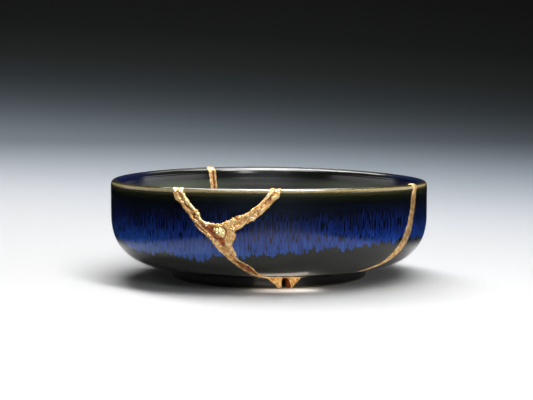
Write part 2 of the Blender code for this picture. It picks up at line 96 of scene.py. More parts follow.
def section():
    """The dish's section as one path, from the middle of the underside over the rim to the middle of
    the floor.

    Returns the way along it and the radius and height there. The way on the outside is the length of
    its straight-sided outline: flat base, foot ring, superellipse belly, upright wall and elliptical
    lip. Each place inside lies as far from the crest, by that same way, as the place outside that it
    backs."""
    flat = RECESS_RADIUS - FOOT_CHAMFER
    ring = np.array((
        (flat, RECESS_DEPTH),
        (RECESS_RADIUS, RECESS_DEPTH - FOOT_CHAMFER),
        (RECESS_RADIUS, FOOT_CHAMFER),
        (RECESS_RADIUS + FOOT_CHAMFER, 0.0),
        (FOOT_RADIUS - FOOT_LEAN - FOOT_CHAMFER, 0.0),
        (FOOT_RADIUS - FOOT_LEAN, FOOT_CHAMFER),
        (FOOT_RADIUS, FOOT_HEIGHT - COVE_DROP),
        (FOOT_RADIUS + COVE_WIDTH / 3.0, FOOT_HEIGHT - COVE_DROP / 3.0),
        (FOOT_RADIUS + COVE_WIDTH, FOOT_HEIGHT),
    ))
    steps = np.diff(ring, axis=0)
    shares = np.append(0.0, np.cumsum(np.hypot(steps[:, 0], steps[:, 1] * UPRIGHT_SHARE)))
    floor_radius = flat + (ring[-1, 0] - flat) * shares / shares[-1]
    knots = np.arange(len(ring))

    # the belly turns in nine straight pieces, and the lip in three
    reach = OUTER_RADIUS - ring[-1, 0]
    belly_turn = np.linspace(np.pi / 2.0, 0.0, 9 * KNOT_STEPS + 1)
    lip_start = RIM_HEIGHT - LIP_ROUNDING
    lip_turn = np.linspace(0.0, np.pi / 2.0, 3 * KNOT_STEPS + 1)
    crest = OUTER_RADIUS - CREST_INSET
    outside, inside, way = [], [], []

    def stretch(knot_points, fine_out, fine_in):
        """Adds a stretch whose places share the way between the knots evenly."""
        begun = way[-1][-1] if way else 0.0
        spans = np.hypot(*np.diff(np.asarray(knot_points), axis=0).T)
        ways = begun + np.append(0.0, np.cumsum(spans))
        way.append(np.interp(np.linspace(0, len(spans), len(fine_out[0])), np.arange(len(ways)), ways))
        outside.append(np.stack(fine_out))
        inside.append(np.stack(fine_in))

    base = np.linspace(0.0, flat, 200)
    stretch(
        ((0, RECESS_DEPTH), (flat, RECESS_DEPTH)),
        (base, base * 0 + RECESS_DEPTH),
        (base, base * 0 + FLOOR_HEIGHT),
    )
    at = np.linspace(0, knots[-1], knots[-1] * KNOT_STEPS + 1)
    ring_out = [np.interp(at, knots, ring[:, axis]) for axis in (0, 1)]
    stretch(ring, ring_out, (np.interp(at, knots, floor_radius), at * 0 + FLOOR_HEIGHT))
    stretch(
        np.stack(belly(belly_turn[::KNOT_STEPS], reach, SHOULDER_HEIGHT - FOOT_HEIGHT), axis=1),
        belly(belly_turn, reach, SHOULDER_HEIGHT - FOOT_HEIGHT),
        belly(belly_turn, reach - WALL, SHOULDER_HEIGHT - FLOOR_HEIGHT),
    )
    rise = np.linspace(SHOULDER_HEIGHT, lip_start, 60)
    stretch(
        ((OUTER_RADIUS, SHOULDER_HEIGHT), (OUTER_RADIUS, lip_start)),
        (rise * 0 + OUTER_RADIUS, rise),
        (rise * 0 + OUTER_RADIUS - WALL, rise),
    )
    height = lip_start + LIP_ROUNDING * np.sin(lip_turn)
    lip_out = np.stack((crest + CREST_INSET * np.cos(lip_turn), height))
    stretch(lip_out.T[::KNOT_STEPS], lip_out, (crest - (WALL - CREST_INSET) * np.cos(lip_turn), height))
    way = np.concatenate(way)
    outside = np.concatenate(outside, axis=1)
    inside = np.concatenate(inside, axis=1)
    rim = way[-1]
    whole_way = np.concatenate((way, 2.0 * rim - way[::-1]))
    whole = np.concatenate((outside, inside[:, ::-1]), axis=1)

    # averaging over a short window rounds every corner
    even = np.linspace(0.0, 2.0 * rim, SECTION_PLACES)
    window = np.ones(CORNER_PLACES) / CORNER_PLACES
    middle = slice(CORNER_PLACES // 2, -(CORNER_PLACES // 2))
    lines = [np.interp(even, whole_way, line) for line in whole]
    for line in lines:
        line[middle] = np.convolve(line, window, "valid")
    return even, *lines, rim


WAY, RADIUS, HEIGHT, RIM_WAY = section()
ALONG = np.stack((np.gradient(RADIUS), np.gradient(HEIGHT)))
ALONG /= np.maximum(np.hypot(*ALONG), 1e-9)
FOOT_WAY = RIM_WAY - FOOT_TOP_DROP
RECESS_WAY = RECESS_RADIUS - FOOT_CHAMFER


def radius_at(way):
    """The dish's radius at a way along its section."""
    return np.interp(way, WAY, RADIUS)


def tilt(turn, radius):
    """How far the rim's lean and saddle lift a place, as a share of the square of its height."""
    out = radius / OUTER_RADIUS
    saddle = (RIM_SADDLE * np.cos(2 * turn) + RIM_TWIST * np.sin(2 * turn)) * out * out
    return (-RIM_LEAN * np.cos(turn) * out - saddle) / RIM_HEIGHT ** 2


def place(turn, way, raised=0.0):
    """Points on the dish, in metres: the section carried round, raised along its normal, and the rim's
    lean and saddle added, which grow with the square of the height."""
    radius = radius_at(way) + raised * np.interp(way, WAY, ALONG[1])
    height = np.interp(way, WAY, HEIGHT) - raised * np.interp(way, WAY, ALONG[0])
    height = height + height ** 2 * tilt(turn, radius)
    return np.stack((radius * np.cos(turn), radius * np.sin(turn), height), axis=-1) * MM


def on_plan(degrees, radius):
    """Places seen from above, as x and y, from their angle in degrees and their radius."""
    turn = np.radians(degrees)
    return np.stack((radius * np.cos(turn), radius * np.sin(turn)), axis=-1)


# The breaks. Places are (angle, drop): degrees from the dish's right side, -90 at the front, and
# millimetres from the crest along the outside, where 65.35 is the top of the foot, 82.8 the edge of its
# recess and 126.7 the middle of the base. A place inside has the angle and drop of the place outside that
# it backs.

MEETING = (-107.0, 110.06)

# the Y on the front: left edge, then right edge from the foot up, then the two edges and the lip between
# its arms
Y_LEFT = (
    (-124.9, -3), (-124.4, 1.6), (-122.9, 6.4), (-121.1, 8), (-119.4, 10.9), (-117.8, 13.2),
    (-115.9, 16.9), (-113.8, 19.9), (-110.9, 23.2), (-108.9, 26.8), (-107.4, 30), (-105.3, 33),
    (-102.8, 37.4), (-100, 42.1), (-96.5, 48.2), (-92.9, 53.3), (-91.2, 56.6), (-91.2, 58.4),
    (-92.6, 60.3), (-93.6, 62.4), (-93.2, 67),
)
Y_RIGHT = (
    (-70.4, 67), (-70.2, 62.4), (-72.4, 60.9), (-80, 60.1), (-86, 59.6), (-88.6, 57.6), (-90, 54.6),
    (-92.2, 50), (-94.4, 45.3), (-96.1, 40), (-98.3, 37.2), (-100.3, 35.4), (-101, 33.3), (-101.6, 29.8),
    (-102.5, 27.4), (-102, 26.1), (-101.4, 24.1), (-100.9, 22.4), (-101.3, 19.9), (-99.9, 19),
    (-97.5, 17.1), (-94.5, 14.8), (-91.8, 11.7), (-89.6, 8.6), (-87.8, 6), (-86.5, 4), (-85.9, 0),
    (-85.7, -3),
)
Y_FORK = (
    (-89.4, -3), (-89.8, 0), (-90.1, 2.8), (-90.6, 3.7), (-92, 5.7), (-93.6, 8.2), (-96.1, 10.4),
    (-98.5, 12.8), (-100.5, 13.3), (-103.5, 15.3), (-105.8, 17), (-108.6, 17), (-112, 16.1),
    (-113.3, 13.7), (-114.4, 11.1), (-116.3, 9.1), (-118, 6.1), (-119.9, 1.9), (-120.3, 0), (-120.4, -3),
)
PIT = (
    (-111.5, 19.2), (-110.9, 18.0), (-109.8, 17.5), (-108.1, 18.2), (-106.9, 18.2), (-105.6, 18.0),
    (-104.6, 18.8), (-104.0, 20.3), (-104.3, 22.3), (-105.0, 24.0), (-104.8, 26.0), (-105.7, 27.5),
    (-106.5, 26.6), (-107.1, 25.3), (-108.5, 23.7), (-109.8, 21.9), (-110.9, 20.5),
)
NUGGET = (
    (-108.5, 18.1), (-107.2, 18.3), (-105.9, 18.0), (-104.8, 19.0), (-104.4, 20.7), (-104.7, 22.5),
    (-105.4, 23.8), (-106.8, 23.8), (-108.0, 23.4), (-108.9, 22.1), (-109.2, 20.7), (-109.1, 19.4),
)
# the nugget's pale face, on its upper right: pale foil painted as lit, while the lump outside it is painted
# as shade
NUGGET_FACE = (
    (-108.9, 18.3), (-107.6, 18.1), (-105.9, 17.7), (-104.6, 18.8), (-104.2, 20.7), (-104.5, 22.6),
    (-105.2, 24.0), (-106.0, 22.9), (-107.3, 21.2),
)
PATCH = (
    (-105.9, 27.5), (-105.0, 26.4), (-104.2, 27.1), (-103.0, 30.3), (-103.2, 30.9), (-103.9, 31.5),
    (-104.8, 30.8), (-105.4, 29.3),
)
SLOT = (
    (-101.5, 35.2), (-100.6, 35.9), (-98.8, 37.1), (-97.0, 38.8), (-95.6, 41.6), (-94.1, 43.9),
    (-92.6, 48.9), (-95.0, 46.6), (-97.2, 44.4), (-98.9, 41.9), (-100.5, 39.2), (-101.3, 37.0),
)

# the smooth seam on the right, and the seam at the back: angles of the left and the right edge at each drop
RIGHT_SEAM = (
    (-2, -29.4, -25.8), (2, -29.6, -26.0), (5, -30.7, -27.1), (9.3, -31.4, -27.5), (13.8, -32.0, -28.4),
    (17.8, -33.2, -29.5), (22.1, -34.8, -30.3), (25.7, -35.8, -30.9), (28.9, -36.7, -32.0),
    (32.2, -38.3, -33.3), (35.6, -39.8, -35.0), (39, -41.2, -37.1), (42.4, -43.2, -39.8),
    (44.8, -45.9, -42.6), (47, -48.0, -45.0), (49.0, -49.0, -47.4), (50.6, -50.2, -49.6),
    (52, -52.3, -51.8), (54.5, -56.3, -55.7), (57, -61.5, -60.8), (59, -66.4, -65.6), (60.5, -70.9, -70.1),
    (61.6, -74.4, -73.6), (62.5, -77.4, -76.6),
)
BACK_SEAM = (
    (-2, 113.2, 116.4), (3.3, 112.8, 116.0), (13.1, 112.1, 115.1), (26.1, 111.8, 114.6),
    (39.2, 113.2, 116.0), (52.3, 115.5, 118.5), (62.7, 117.6, 121.2), (70.6, 118.3, 121.7),
    (84.2, 118.0, 122.0),
)

# the lines under the base and across the floor: angle, drop and width
FRONT_LINE = ((-82, 80, 4.0), (-82, 84.2, 4.0), (-90, 96.0, 3.6), (*MEETING, 3.6))
BACK_LINE = ((119.6, 64, 3.2), (120, 84.2, 3.0), (131, 96.9, 3.0), (164, 112.7, 3.4), (*MEETING, 3.6))

# the fill of the foot ring: drop, then the angles of its left and right edge
FOOT_FILL = (
    (61.0, -93.4, -70.4), (65.3, -93.0, -70.5), (66.3, -91.8, -71.3), (68.6, -88.7, -73.7),
    (71.4, -85.5, -76.5), (77.6, -86.0, -76.6), (82.8, -86.6, -76.6), (88.1, -84.6, -79.6),
)
NOTCH_ANGLE = -80.6
NOTCH_WIDTH = 4.7
NOTCH_HEIGHT = 5.6
NOTCH_FLARE = 0.6
FILL_TOP = 8.2
NOTCH_OUTLINE = (
    (-1.0, -0.15), (-0.94, 0.72), (-0.62, 1.0), (0.12, 0.98), (0.60, 0.78), (0.95, 0.40), (1.2, -0.15),
)

# where each shard ends under the gold: angle and drop, from the rim down, most to the meeting point on the
# floor
LEFT_SHARD_FRONT = (
    (-124.0, -2), (-123.7, 1.6), (-122.2, 6.4), (-120.4, 8.3), (-118.7, 11.2), (-117.1, 13.6),
    (-115.2, 17.2), (-113.1, 20.3), (-110.2, 23.7), (-108.2, 27.1), (-106.7, 30.3), (-104.6, 33.4),
    (-102.1, 37.8), (-99.3, 42.5), (-95.8, 48.5), (-92.0, 53.8), (-90.0, 57.5), (-89.8, 60.5),
    (-91.4, 63.5), (-91.2, 65.8), (-88.0, 68.6),
    (-84.8, 71.4), (-85.0, 77.6), (-85.4, 82.8), (-86.6, 88.0), (-90.0, 96.0), MEETING,
)
RIGHT_SHARD_FRONT = (
    (-86.5, -2), (-86.7, 0), (-87.2, 3.6), (-88.5, 5.6), (-90.3, 8.2), (-92.5, 11.3), (-95.2, 14.3),
    (-98.2, 16.6), (-100.5, 18.4), (-102.0, 19.6), (-101.6, 22.4), (-102.1, 24.1), (-102.8, 26.1),
    (-103.2, 27.6), (-102.3, 30.0), (-101.7, 33.5), (-101.0, 35.7), (-99.0, 37.7), (-96.9, 40.3),
    (-95.1, 45.5), (-92.9, 50.3), (-90.7, 55.3), (-88.6, 59.6), (-86, 60.8), (-80, 61.3),
)
FRONT_SHARD_LEFT = (
    (-121.2, -2), (-120.9, 0), (-120.5, 1.9), (-118.7, 6.3), (-117.0, 9.3), (-115.1, 11.3), (-114, 13.8),
    (-112.9, 16.4), (-112.4, 17.4),
)
FRONT_SHARD_RIGHT = (
    (-88.9, -2), (-89.2, 0), (-89.5, 2.8), (-90, 4.0), (-91.4, 6.2), (-93, 8.7), (-95.5, 11.0),
    (-97.9, 13.4), (-99.9, 14.0), (-103.3, 16.0), (-105.6, 17.4),
)
RIGHT_SHARD_RIGHT = (
    (-28.6, -2), (-28.8, 2), (-29.9, 5), (-30.6, 9.3), (-31.2, 13.8), (-32.3, 17.8), (-33.9, 22.1),
    (-34.9, 25.7), (-35.9, 28.9), (-37.5, 32.2), (-39.0, 35.6), (-40.3, 39), (-42.4, 42.4), (-45.0, 44.8),
    (-47.1, 47.2), (-48.4, 49.4), (-49.9, 50.6), (-52.0, 52.0), (-56.0, 54.5), (-61.1, 57.0),
    (-66.0, 59.0), (-70.5, 60.5), (-74.0, 61.6),
)
BACK_SHARD_RIGHT = (
    (-26.6, -2), (-26.8, 2), (-27.9, 5), (-28.3, 9.3), (-29.2, 13.8), (-30.3, 17.8), (-31.1, 22.1),
    (-31.7, 25.7), (-32.8, 28.9), (-34.1, 32.2), (-35.8, 35.6), (-38.0, 39), (-40.7, 42.4), (-43.4, 44.8),
    (-45.8, 47.0), (-48.1, 49.3), (-49.9, 50.6), (-52.0, 52.0), (-56.0, 54.5), (-61.1, 57.0),
    (-66.0, 59.0), (-70.5, 60.5), (-73.2, 61.6), (-71.6, 63.8), (-71.8, 65.6), (-72.4, 66.6),
    (-74.4, 68.6), (-77.1, 71.4), (-77.3, 77.6), (-77.4, 82.8), (-80.6, 88.2), (-88.2, 95.4), MEETING,
)
BACK_SHARD_BACK = (
    (113.8, -2), (113.4, 3.3), (112.7, 13.1), (112.4, 26.1), (113.8, 39.2), (116.1, 52.3), (118.3, 62.7),
    (119.2, 70.6), (119.1, 84.2), (130.0, 96.9), (162.0, 112.7), MEETING,
)
LEFT_SHARD_BACK = (
    (115.8, -2), (115.4, 3.3), (114.5, 13.1), (114.0, 26.1), (115.4, 39.2), (117.9, 52.3), (120.5, 62.7),
    (120.8, 70.6), (120.9, 84.2), (132.0, 96.9), (166.0, 112.7), MEETING,
)

# from degrees and drop to millimetres on the upright wall
DEGREE_AND_DROP = np.array((math.radians(1.0) * OUTER_RADIUS, 1.0))


def smooth(points, steps=6):
    """A Catmull-Rom curve through rows of numbers: each span is the cubic whose ends have the slopes of
    their chords."""
    points = np.asarray(points, float)
    padded = np.concatenate((points[:1], points, points[-1:]))
    before, start, end, after = padded[:-3, None], padded[1:-2, None], padded[2:-1, None], padded[3:, None]
    t = (np.arange(steps) / steps)[None, :, None]
    cubic = 3.0 * start - before - 3.0 * end + after
    square = 2.0 * before - 5.0 * start + 4.0 * end - after
    curve = (2.0 * start + (end - before) * t + square * t ** 2 + cubic * t ** 3) / 2.0
    return np.concatenate((curve.reshape(-1, points.shape[1]), points[-1:]))


def ripples(x, y, size, seed, count=9):
    """Random-looking ripples about as high as one: a sum of sine waves near one length, each with its
    own heading and phase from a seeded generator."""
    chance = np.random.default_rng(seed)
    total = np.zeros(np.broadcast(x, y).shape)
    ranges = ((0, np.pi), (0, 2 * np.pi), (0.7, 1.4))
    draws = zip(*[chance.uniform(low, high, count) for low, high in ranges])
    for heading, phase, longer in draws:
        total += np.sin(2 * np.pi * (x * np.cos(heading) + y * np.sin(heading)) / (size * longer) + phase)
    return total / math.sqrt(count / 2.0)


def ease(value, start, end):
    """A smooth step from 0 at the start to 1 at the end."""
    share = np.clip((value - start) / (end - start), 0.0, 1.0)
    return share * share * (3.0 - 2.0 * share)


def from_side(x, y, start, span):
    """How far along a straight side the place nearest to each point lies, from 0 to 1, and how far off
    the point is."""
    share = ((x - start[0]) * span[0] + (y - start[1]) * span[1]) / max(span @ span, 1e-12)
    share = np.clip(share, 0.0, 1.0)
    return share, np.hypot(x - start[0] - span[0] * share, y - start[1] - span[1] * share)


def inside_by(x, y, outline):
    """How far points lie inside a closed outline, negative outside: the distance to the nearest side,
    with the sign from counting the sides crossed by a ray."""
    corners = np.asarray(outline, float)
    nearest = np.full(np.shape(x), np.inf)
    within = np.zeros(np.shape(x), bool)
    for corner, side in zip(corners, np.roll(corners, -1, axis=0) - corners):
        nearest = np.minimum(nearest, from_side(x, y, corner, side)[1])
        crosses = (corner[1] > y) != (corner[1] + side[1] > y)
        within ^= crosses & (x < corner[0] + side[0] * (y - corner[1]) / (side[1] or 1e-12))
    return np.where(within, nearest, -nearest)


def inside_line(x, y, line):
    """How far points lie inside a line with a changing width: half the width there less the distance to
    the line."""
    line = np.asarray(line, float)
    best = np.full(np.shape(x), -np.inf)
    for start, span in zip(line, np.diff(line, axis=0)):
        share, away = from_side(x, y, start[:2], span[:2])
        best = np.maximum(best, (start[2] + span[2] * share) / 2.0 - away)
    return best


def in_scene(obj):
    """Puts an object in the scene."""
    bpy.context.scene.collection.objects.link(obj)
    return obj


def write_mark(mesh, name, values):
    """Writes a number or three for each point of a mesh, for its material to read."""
    values = np.asarray(values, np.float32)
    kind, field = ("FLOAT_VECTOR", "vector") if values.ndim == 2 else ("FLOAT", "value")
    mesh.attributes.new(name, kind, "POINT").data.foreach_set(field, values.ravel())


def grid_cells(rows, columns):
    """The four corners of each cell of a grid whose points are numbered row by row."""
    number = np.arange(rows * columns).reshape(rows, columns)
    corners = (number[:-1, :-1], number[:-1, 1:], number[1:, 1:], number[1:, :-1])
    return np.stack(corners, axis=-1).reshape(-1, 4)


def solid(name, top, bottom, keep=None, marks=None):
    """A closed mesh between two grids of points of one size: the top sheet, the bottom sheet turned
    over, and a wall along the edge of the cells that are kept. Points in one place are merged, and the
    faces point outwards."""
    rows, columns = top.shape[:2]
    count = rows * columns
    cells = grid_cells(rows, columns)
    cells = cells if keep is None else cells[keep.ravel()]
    edges = np.stack((cells, np.roll(cells, -1, axis=1)), axis=-1).reshape(-1, 2)
    lone = edges[~np.isin(edges[:, 0] * count + edges[:, 1], edges[:, 1] * count + edges[:, 0])]
    walls = np.stack((lone[:, 1], lone[:, 0], lone[:, 0] + count, lone[:, 1] + count), axis=-1)
    faces = np.concatenate((cells, cells[:, ::-1] + count, walls))
    points = np.concatenate((top.reshape(-1, 3), bottom.reshape(-1, 3)))
    corners = points[faces]
    first, second = corners[:, 2] - corners[:, 0], corners[:, 3] - corners[:, 1]
    if np.einsum("ij,ij->", np.cross(first, second), corners.mean(axis=1)) < 0.0:
        faces = faces[:, ::-1]
    used, faces = np.unique(faces, return_inverse=True)
    mesh = bpy.data.meshes.new(name)
    mesh.from_pydata(points[used].tolist(), [], faces.reshape(-1, 4).tolist())
    for mark, values in (marks or {}).items():
        write_mark(mesh, mark, np.tile(values.ravel(), 2)[used])
    body = bmesh.new()
    body.from_mesh(mesh)
    bmesh.ops.remove_doubles(body, verts=body.verts, dist=2e-6)
    bmesh.ops.dissolve_degenerate(body, edges=body.edges, dist=1e-7)
    body.to_mesh(mesh)
    body.free()
    mesh.shade_smooth()
    mesh.set_sharp_from_angle(angle=math.radians(50.0))
    return in_scene(bpy.data.objects.new(name, mesh))


def finish_piece(obj, material, node):
    """Gives a piece its material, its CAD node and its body."""
    obj.data.materials.clear()
    obj.data.materials.append(material)
    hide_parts(node)
    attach(obj, "root")
    return obj


# The shards

def shifted(point_way):
    """How far the middle of the shards' map has moved to the meeting point: wholly at its tip, and not
    at all from the foot's recess outwards."""
    return 1.0 - ease(point_way, 0.0, RECESS_WAY)


MEETING_SPOT = on_plan(MEETING[0], RIM_WAY - MEETING[1])


def edge_turn(edge, ways):
    """The heading of a shard's edge, seen from the shifted middle, at each way from it. The way of a
    point is found by repeating: way = distance from the middle as shifted for the last way."""
    angle, drop = np.array(edge, float).T
    spot = smooth(on_plan(angle, RIM_WAY - drop))
    way = np.hypot(*spot.T)
    for _ in range(60):
        way = np.hypot(*(spot - MEETING_SPOT * shifted(way)[:, None]).T)
    offset = spot - MEETING_SPOT * shifted(way)[:, None]
    heading = np.unwrap(np.arctan2(offset[:, 1], offset[:, 0]))
    clear = way > 0.5
    order = np.argsort(way[clear])
    return np.interp(ways, way[clear][order], heading[clear][order])


def shard_ways(first):
    """The rows of a shard, closer together at the foot ring and at the lip."""
    floor_rows = np.linspace(0.0, RECESS_WAY - 0.4, 44)
    foot_rows = np.arange(RECESS_WAY - 0.2, FOOT_WAY + 0.4, 0.3)
    wall_rows = np.linspace(FOOT_WAY + 0.8, RIM_WAY - 4.2, 74)
    lip_rows = np.linspace(RIM_WAY - 3.9, RIM_WAY, 19)
    rows = np.concatenate((floor_rows, foot_rows, wall_rows, lip_rows))
    return np.append(first, rows[rows > first + 0.2]) if first else rows


COLUMN_WIDTH = 1.0
# the ragged lower edge of the blue band: angle and drop
BAND_EDGE = (
    (-180, 32.0), (-153.6, 31.2), (-150.6, 33.6), (-143.8, 34.8), (-137.6, 34.9), (-131.3, 32.4),
    (-126.9, 33.6), (-122.6, 34.2), (-118.9, 35.6), (-114.9, 35.8), (-110.8, 34), (-108.6, 32.5),
    (-105.3, 33.9), (-98.3, 33.7), (-94.8, 31.9), (-88, 31.9), (-83, 29.9), (-79.6, 31.6), (-72.8, 30),
    (-63.5, 29.8), (-57.6, 29.4), (-48.8, 28.7), (-40.9, 28), (-30.5, 28.3), (-10, 30.5), (20, 33.2),
    (60, 31.0), (100, 34.4), (140, 30.6), (180, 32.0),
)


def mark_glaze(mesh, middle):
    """Writes what the glaze needs to know of each point of a shard: metres round the dish, metres down
    from the crest and 0 outside or 1 inside, and how far it lies below the ragged lower edge of the
    blue band.

    They follow from where the point lies: its angle, within half a turn of the shard's middle, and the
    nearest way along the section to its radius and height."""
    points = np.zeros(len(mesh.vertices) * 3, np.float32)
    mesh.vertices.foreach_get("co", points)
    x, y, height = points.reshape(-1, 3).astype(float).T / MM
    turn = middle + (np.arctan2(y, x) - middle + np.pi) % (2 * np.pi) - np.pi
    radius = np.hypot(x, y)
    height = height - height ** 2 * tilt(turn, radius)
    coarse = slice(None, None, 5)
    gaps = (radius[:, None] - RADIUS[coarse]) ** 2 + (height[:, None] - HEIGHT[coarse]) ** 2
    way = WAY[coarse][np.argmin(gaps, axis=1)]
    drop = np.abs(RIM_WAY - way)
    write_mark(mesh, "glaze_place", np.stack((turn * OUTER_RADIUS * MM, drop * MM, way > RIM_WAY), axis=-1))
    angles, edges = np.array(BAND_EDGE, float).T
    degrees = (np.degrees(turn) + 180.0) % 360.0 - 180.0
    write_mark(mesh, "below_band", (drop - np.interp(degrees, angles, edges)) * MM)


def shard(name, right_edge, left_edge, first):
    """One shard: rows at even ways from the tip to the crest, each spread between the headings of the
    two edges, as a sheet on the outside and a sheet inside that meet at the crest."""
    ways = shard_ways(first)
    start, end = edge_turn(right_edge, ways), edge_turn(left_edge, ways)
    end = start - (start - end) % (2.0 * np.pi)
    columns = max(int(abs(end[-1] - start[-1]) * OUTER_RADIUS / COLUMN_WIDTH), 8)
    heading = start[:, None] + (end - start)[:, None] * np.linspace(0.0, 1.0, columns)[None, :]
    spot = ways[:, None, None] * np.stack((np.cos(heading), np.sin(heading)), axis=-1)
    spot = spot + MEETING_SPOT * shifted(ways)[:, None, None]
    way = np.where(ways[:, None] > RECESS_WAY, ways[:, None], np.hypot(spot[..., 0], spot[..., 1]))
    turn = np.arctan2(spot[..., 1], spot[..., 0])
    turn = heading + (turn - heading + np.pi) % (2 * np.pi) - np.pi
    outer, inner = place(turn, way), place(turn, 2 * RIM_WAY - way)
    inner[-1] = outer[-1]
    obj = solid(name, outer, inner)
    mark_glaze(obj.data, (start[-1] + end[-1]) / 2.0)
    return obj


# The gold

BEAD = 0.45
# the nugget carries a painted highlight on its upper right and painted shade on its lower left: what x less
# y comes to along its middle, in millimetres
NUGGET_MIDDLE = -176.2


def bead(deep, height=BEAD, shoulder=1.3):
    """The height of raised gold: it climbs out of the glaze at its edge and rounds over to full height."""
    share = np.clip(deep / shoulder, 0.0, 1.0)
    return np.where(deep < 0.0, 1.1 * deep, height * (1.0 - (1.0 - share) ** 2))


# grooves in the Y: a line, its depth and half its width
GROOVES = (
    (((-122.1, 2.7), (-121.2, 3.6), (-120.5, 4.9), (-119.9, 6.4), (-120.9, 7.1)), 0.42, 0.42),
    (((-119.5, 8.3), (-118.1, 9.5), (-116.6, 10.7), (-115.5, 12.3), (-115.5, 13.6), (-115.8, 14.8)),
     0.40, 0.42),
    (((-115.5, 14.6), (-114.0, 15.9), (-112.9, 17.4), (-111.6, 18.8), (-110.6, 19.9)), 0.50, 0.42),
    (((-115.6, 16.7), (-114.4, 17.9), (-113.1, 19.0), (-111.6, 20.6)), 0.34, 0.45),
    (((-88.4, 1.6), (-88.6, 3.2), (-89.4, 4.7), (-90.2, 6.0), (-91.3, 7.7)), 0.60, 0.40),
    (((-92.4, 9.6), (-94.8, 11.9), (-97.4, 13.9), (-99.4, 15.6)), 0.16, 0.45),
    (((-93.6, 12.3), (-96.4, 14.6), (-99.6, 16.9), (-101.6, 17.6)), 0.20, 0.45),
    (((-101.6, 14.4), (-100.6, 14.6), (-99.8, 15.2)), 0.30, 0.50),
    (((-103.4, 31.4), (-102.6, 33.2), (-101.6, 35.2)), 0.22, 0.50),
    (((-109.6, 24.2), (-107.4, 27.4), (-105.6, 30.6), (-103.4, 34.2), (-101.4, 38.0)), 0.09, 0.40),
)
# ridges beside the grooves: a line, its height and half its width
RIDGES = (
    (((-121.6, 1.6), (-120.4, 3.6), (-119.6, 5.4), (-118.8, 7.0)), 0.22, 0.40),
    (((-115.3, 15.9), (-113.9, 17.3), (-112.5, 18.8), (-110.9, 20.8), (-109.2, 23.2), (-107.4, 26.0)),
     0.26, 0.45),
    (((-115.0, 13.9), (-113.6, 15.0), (-112.3, 16.4), (-111.2, 17.8)), 0.20, 0.38),
    (((-88.0, 1.0), (-89.0, 3.2), (-90.0, 4.4), (-91.2, 6.0), (-92.1, 7.2)), 0.28, 0.40),
    (((-88.4, 4.6), (-89.6, 6.2), (-90.6, 7.8)), 0.20, 0.35),
    (((-100.4, 37.6), (-99.0, 39.4), (-97.6, 41.6)), 0.65, 0.50),
)
# flecks of pale foil, which also paint white glints: angle, drop and radius
FLECKS = (
    (-119.9, 7.3, 0.75), (-119.2, 7.9, 0.55), (-118.2, 8.4, 0.45), (-118.1, 10.5, 0.55),
    (-117.1, 11.6, 0.80), (-115.0, 15.6, 0.65), (-113.8, 17.2, 0.45), (-112.5, 18.6, 0.45),
    (-120.6, 0.9, 0.5), (-120.6, 5.9, 0.45), (-115.6, 11.9, 0.5), (-93.4, 10.0, 0.5), (-95.4, 11.7, 0.6),
    (-97.8, 14.4, 0.5), (-101.3, 15.8, 0.7), (-104.2, 17.6, 0.45), (-89.6, 6.0, 0.45), (-88.8, 0.8, 0.6),
)


def ridge_share(x, y, line, half):
    """How near points lie to a line through the gold: 1 on it, and 0 from half its width."""
    near = np.column_stack((np.asarray(line, float) * DEGREE_AND_DROP, np.zeros(len(line))))
    return 1.0 - ease(-inside_line(x, y, near), 0.1 * half, half)


def rounded(outline):
    """A closed outline on the wall as a smooth curve, in millimetres."""
    return smooth(outline + outline[:1], 4)[:-1] * DEGREE_AND_DROP


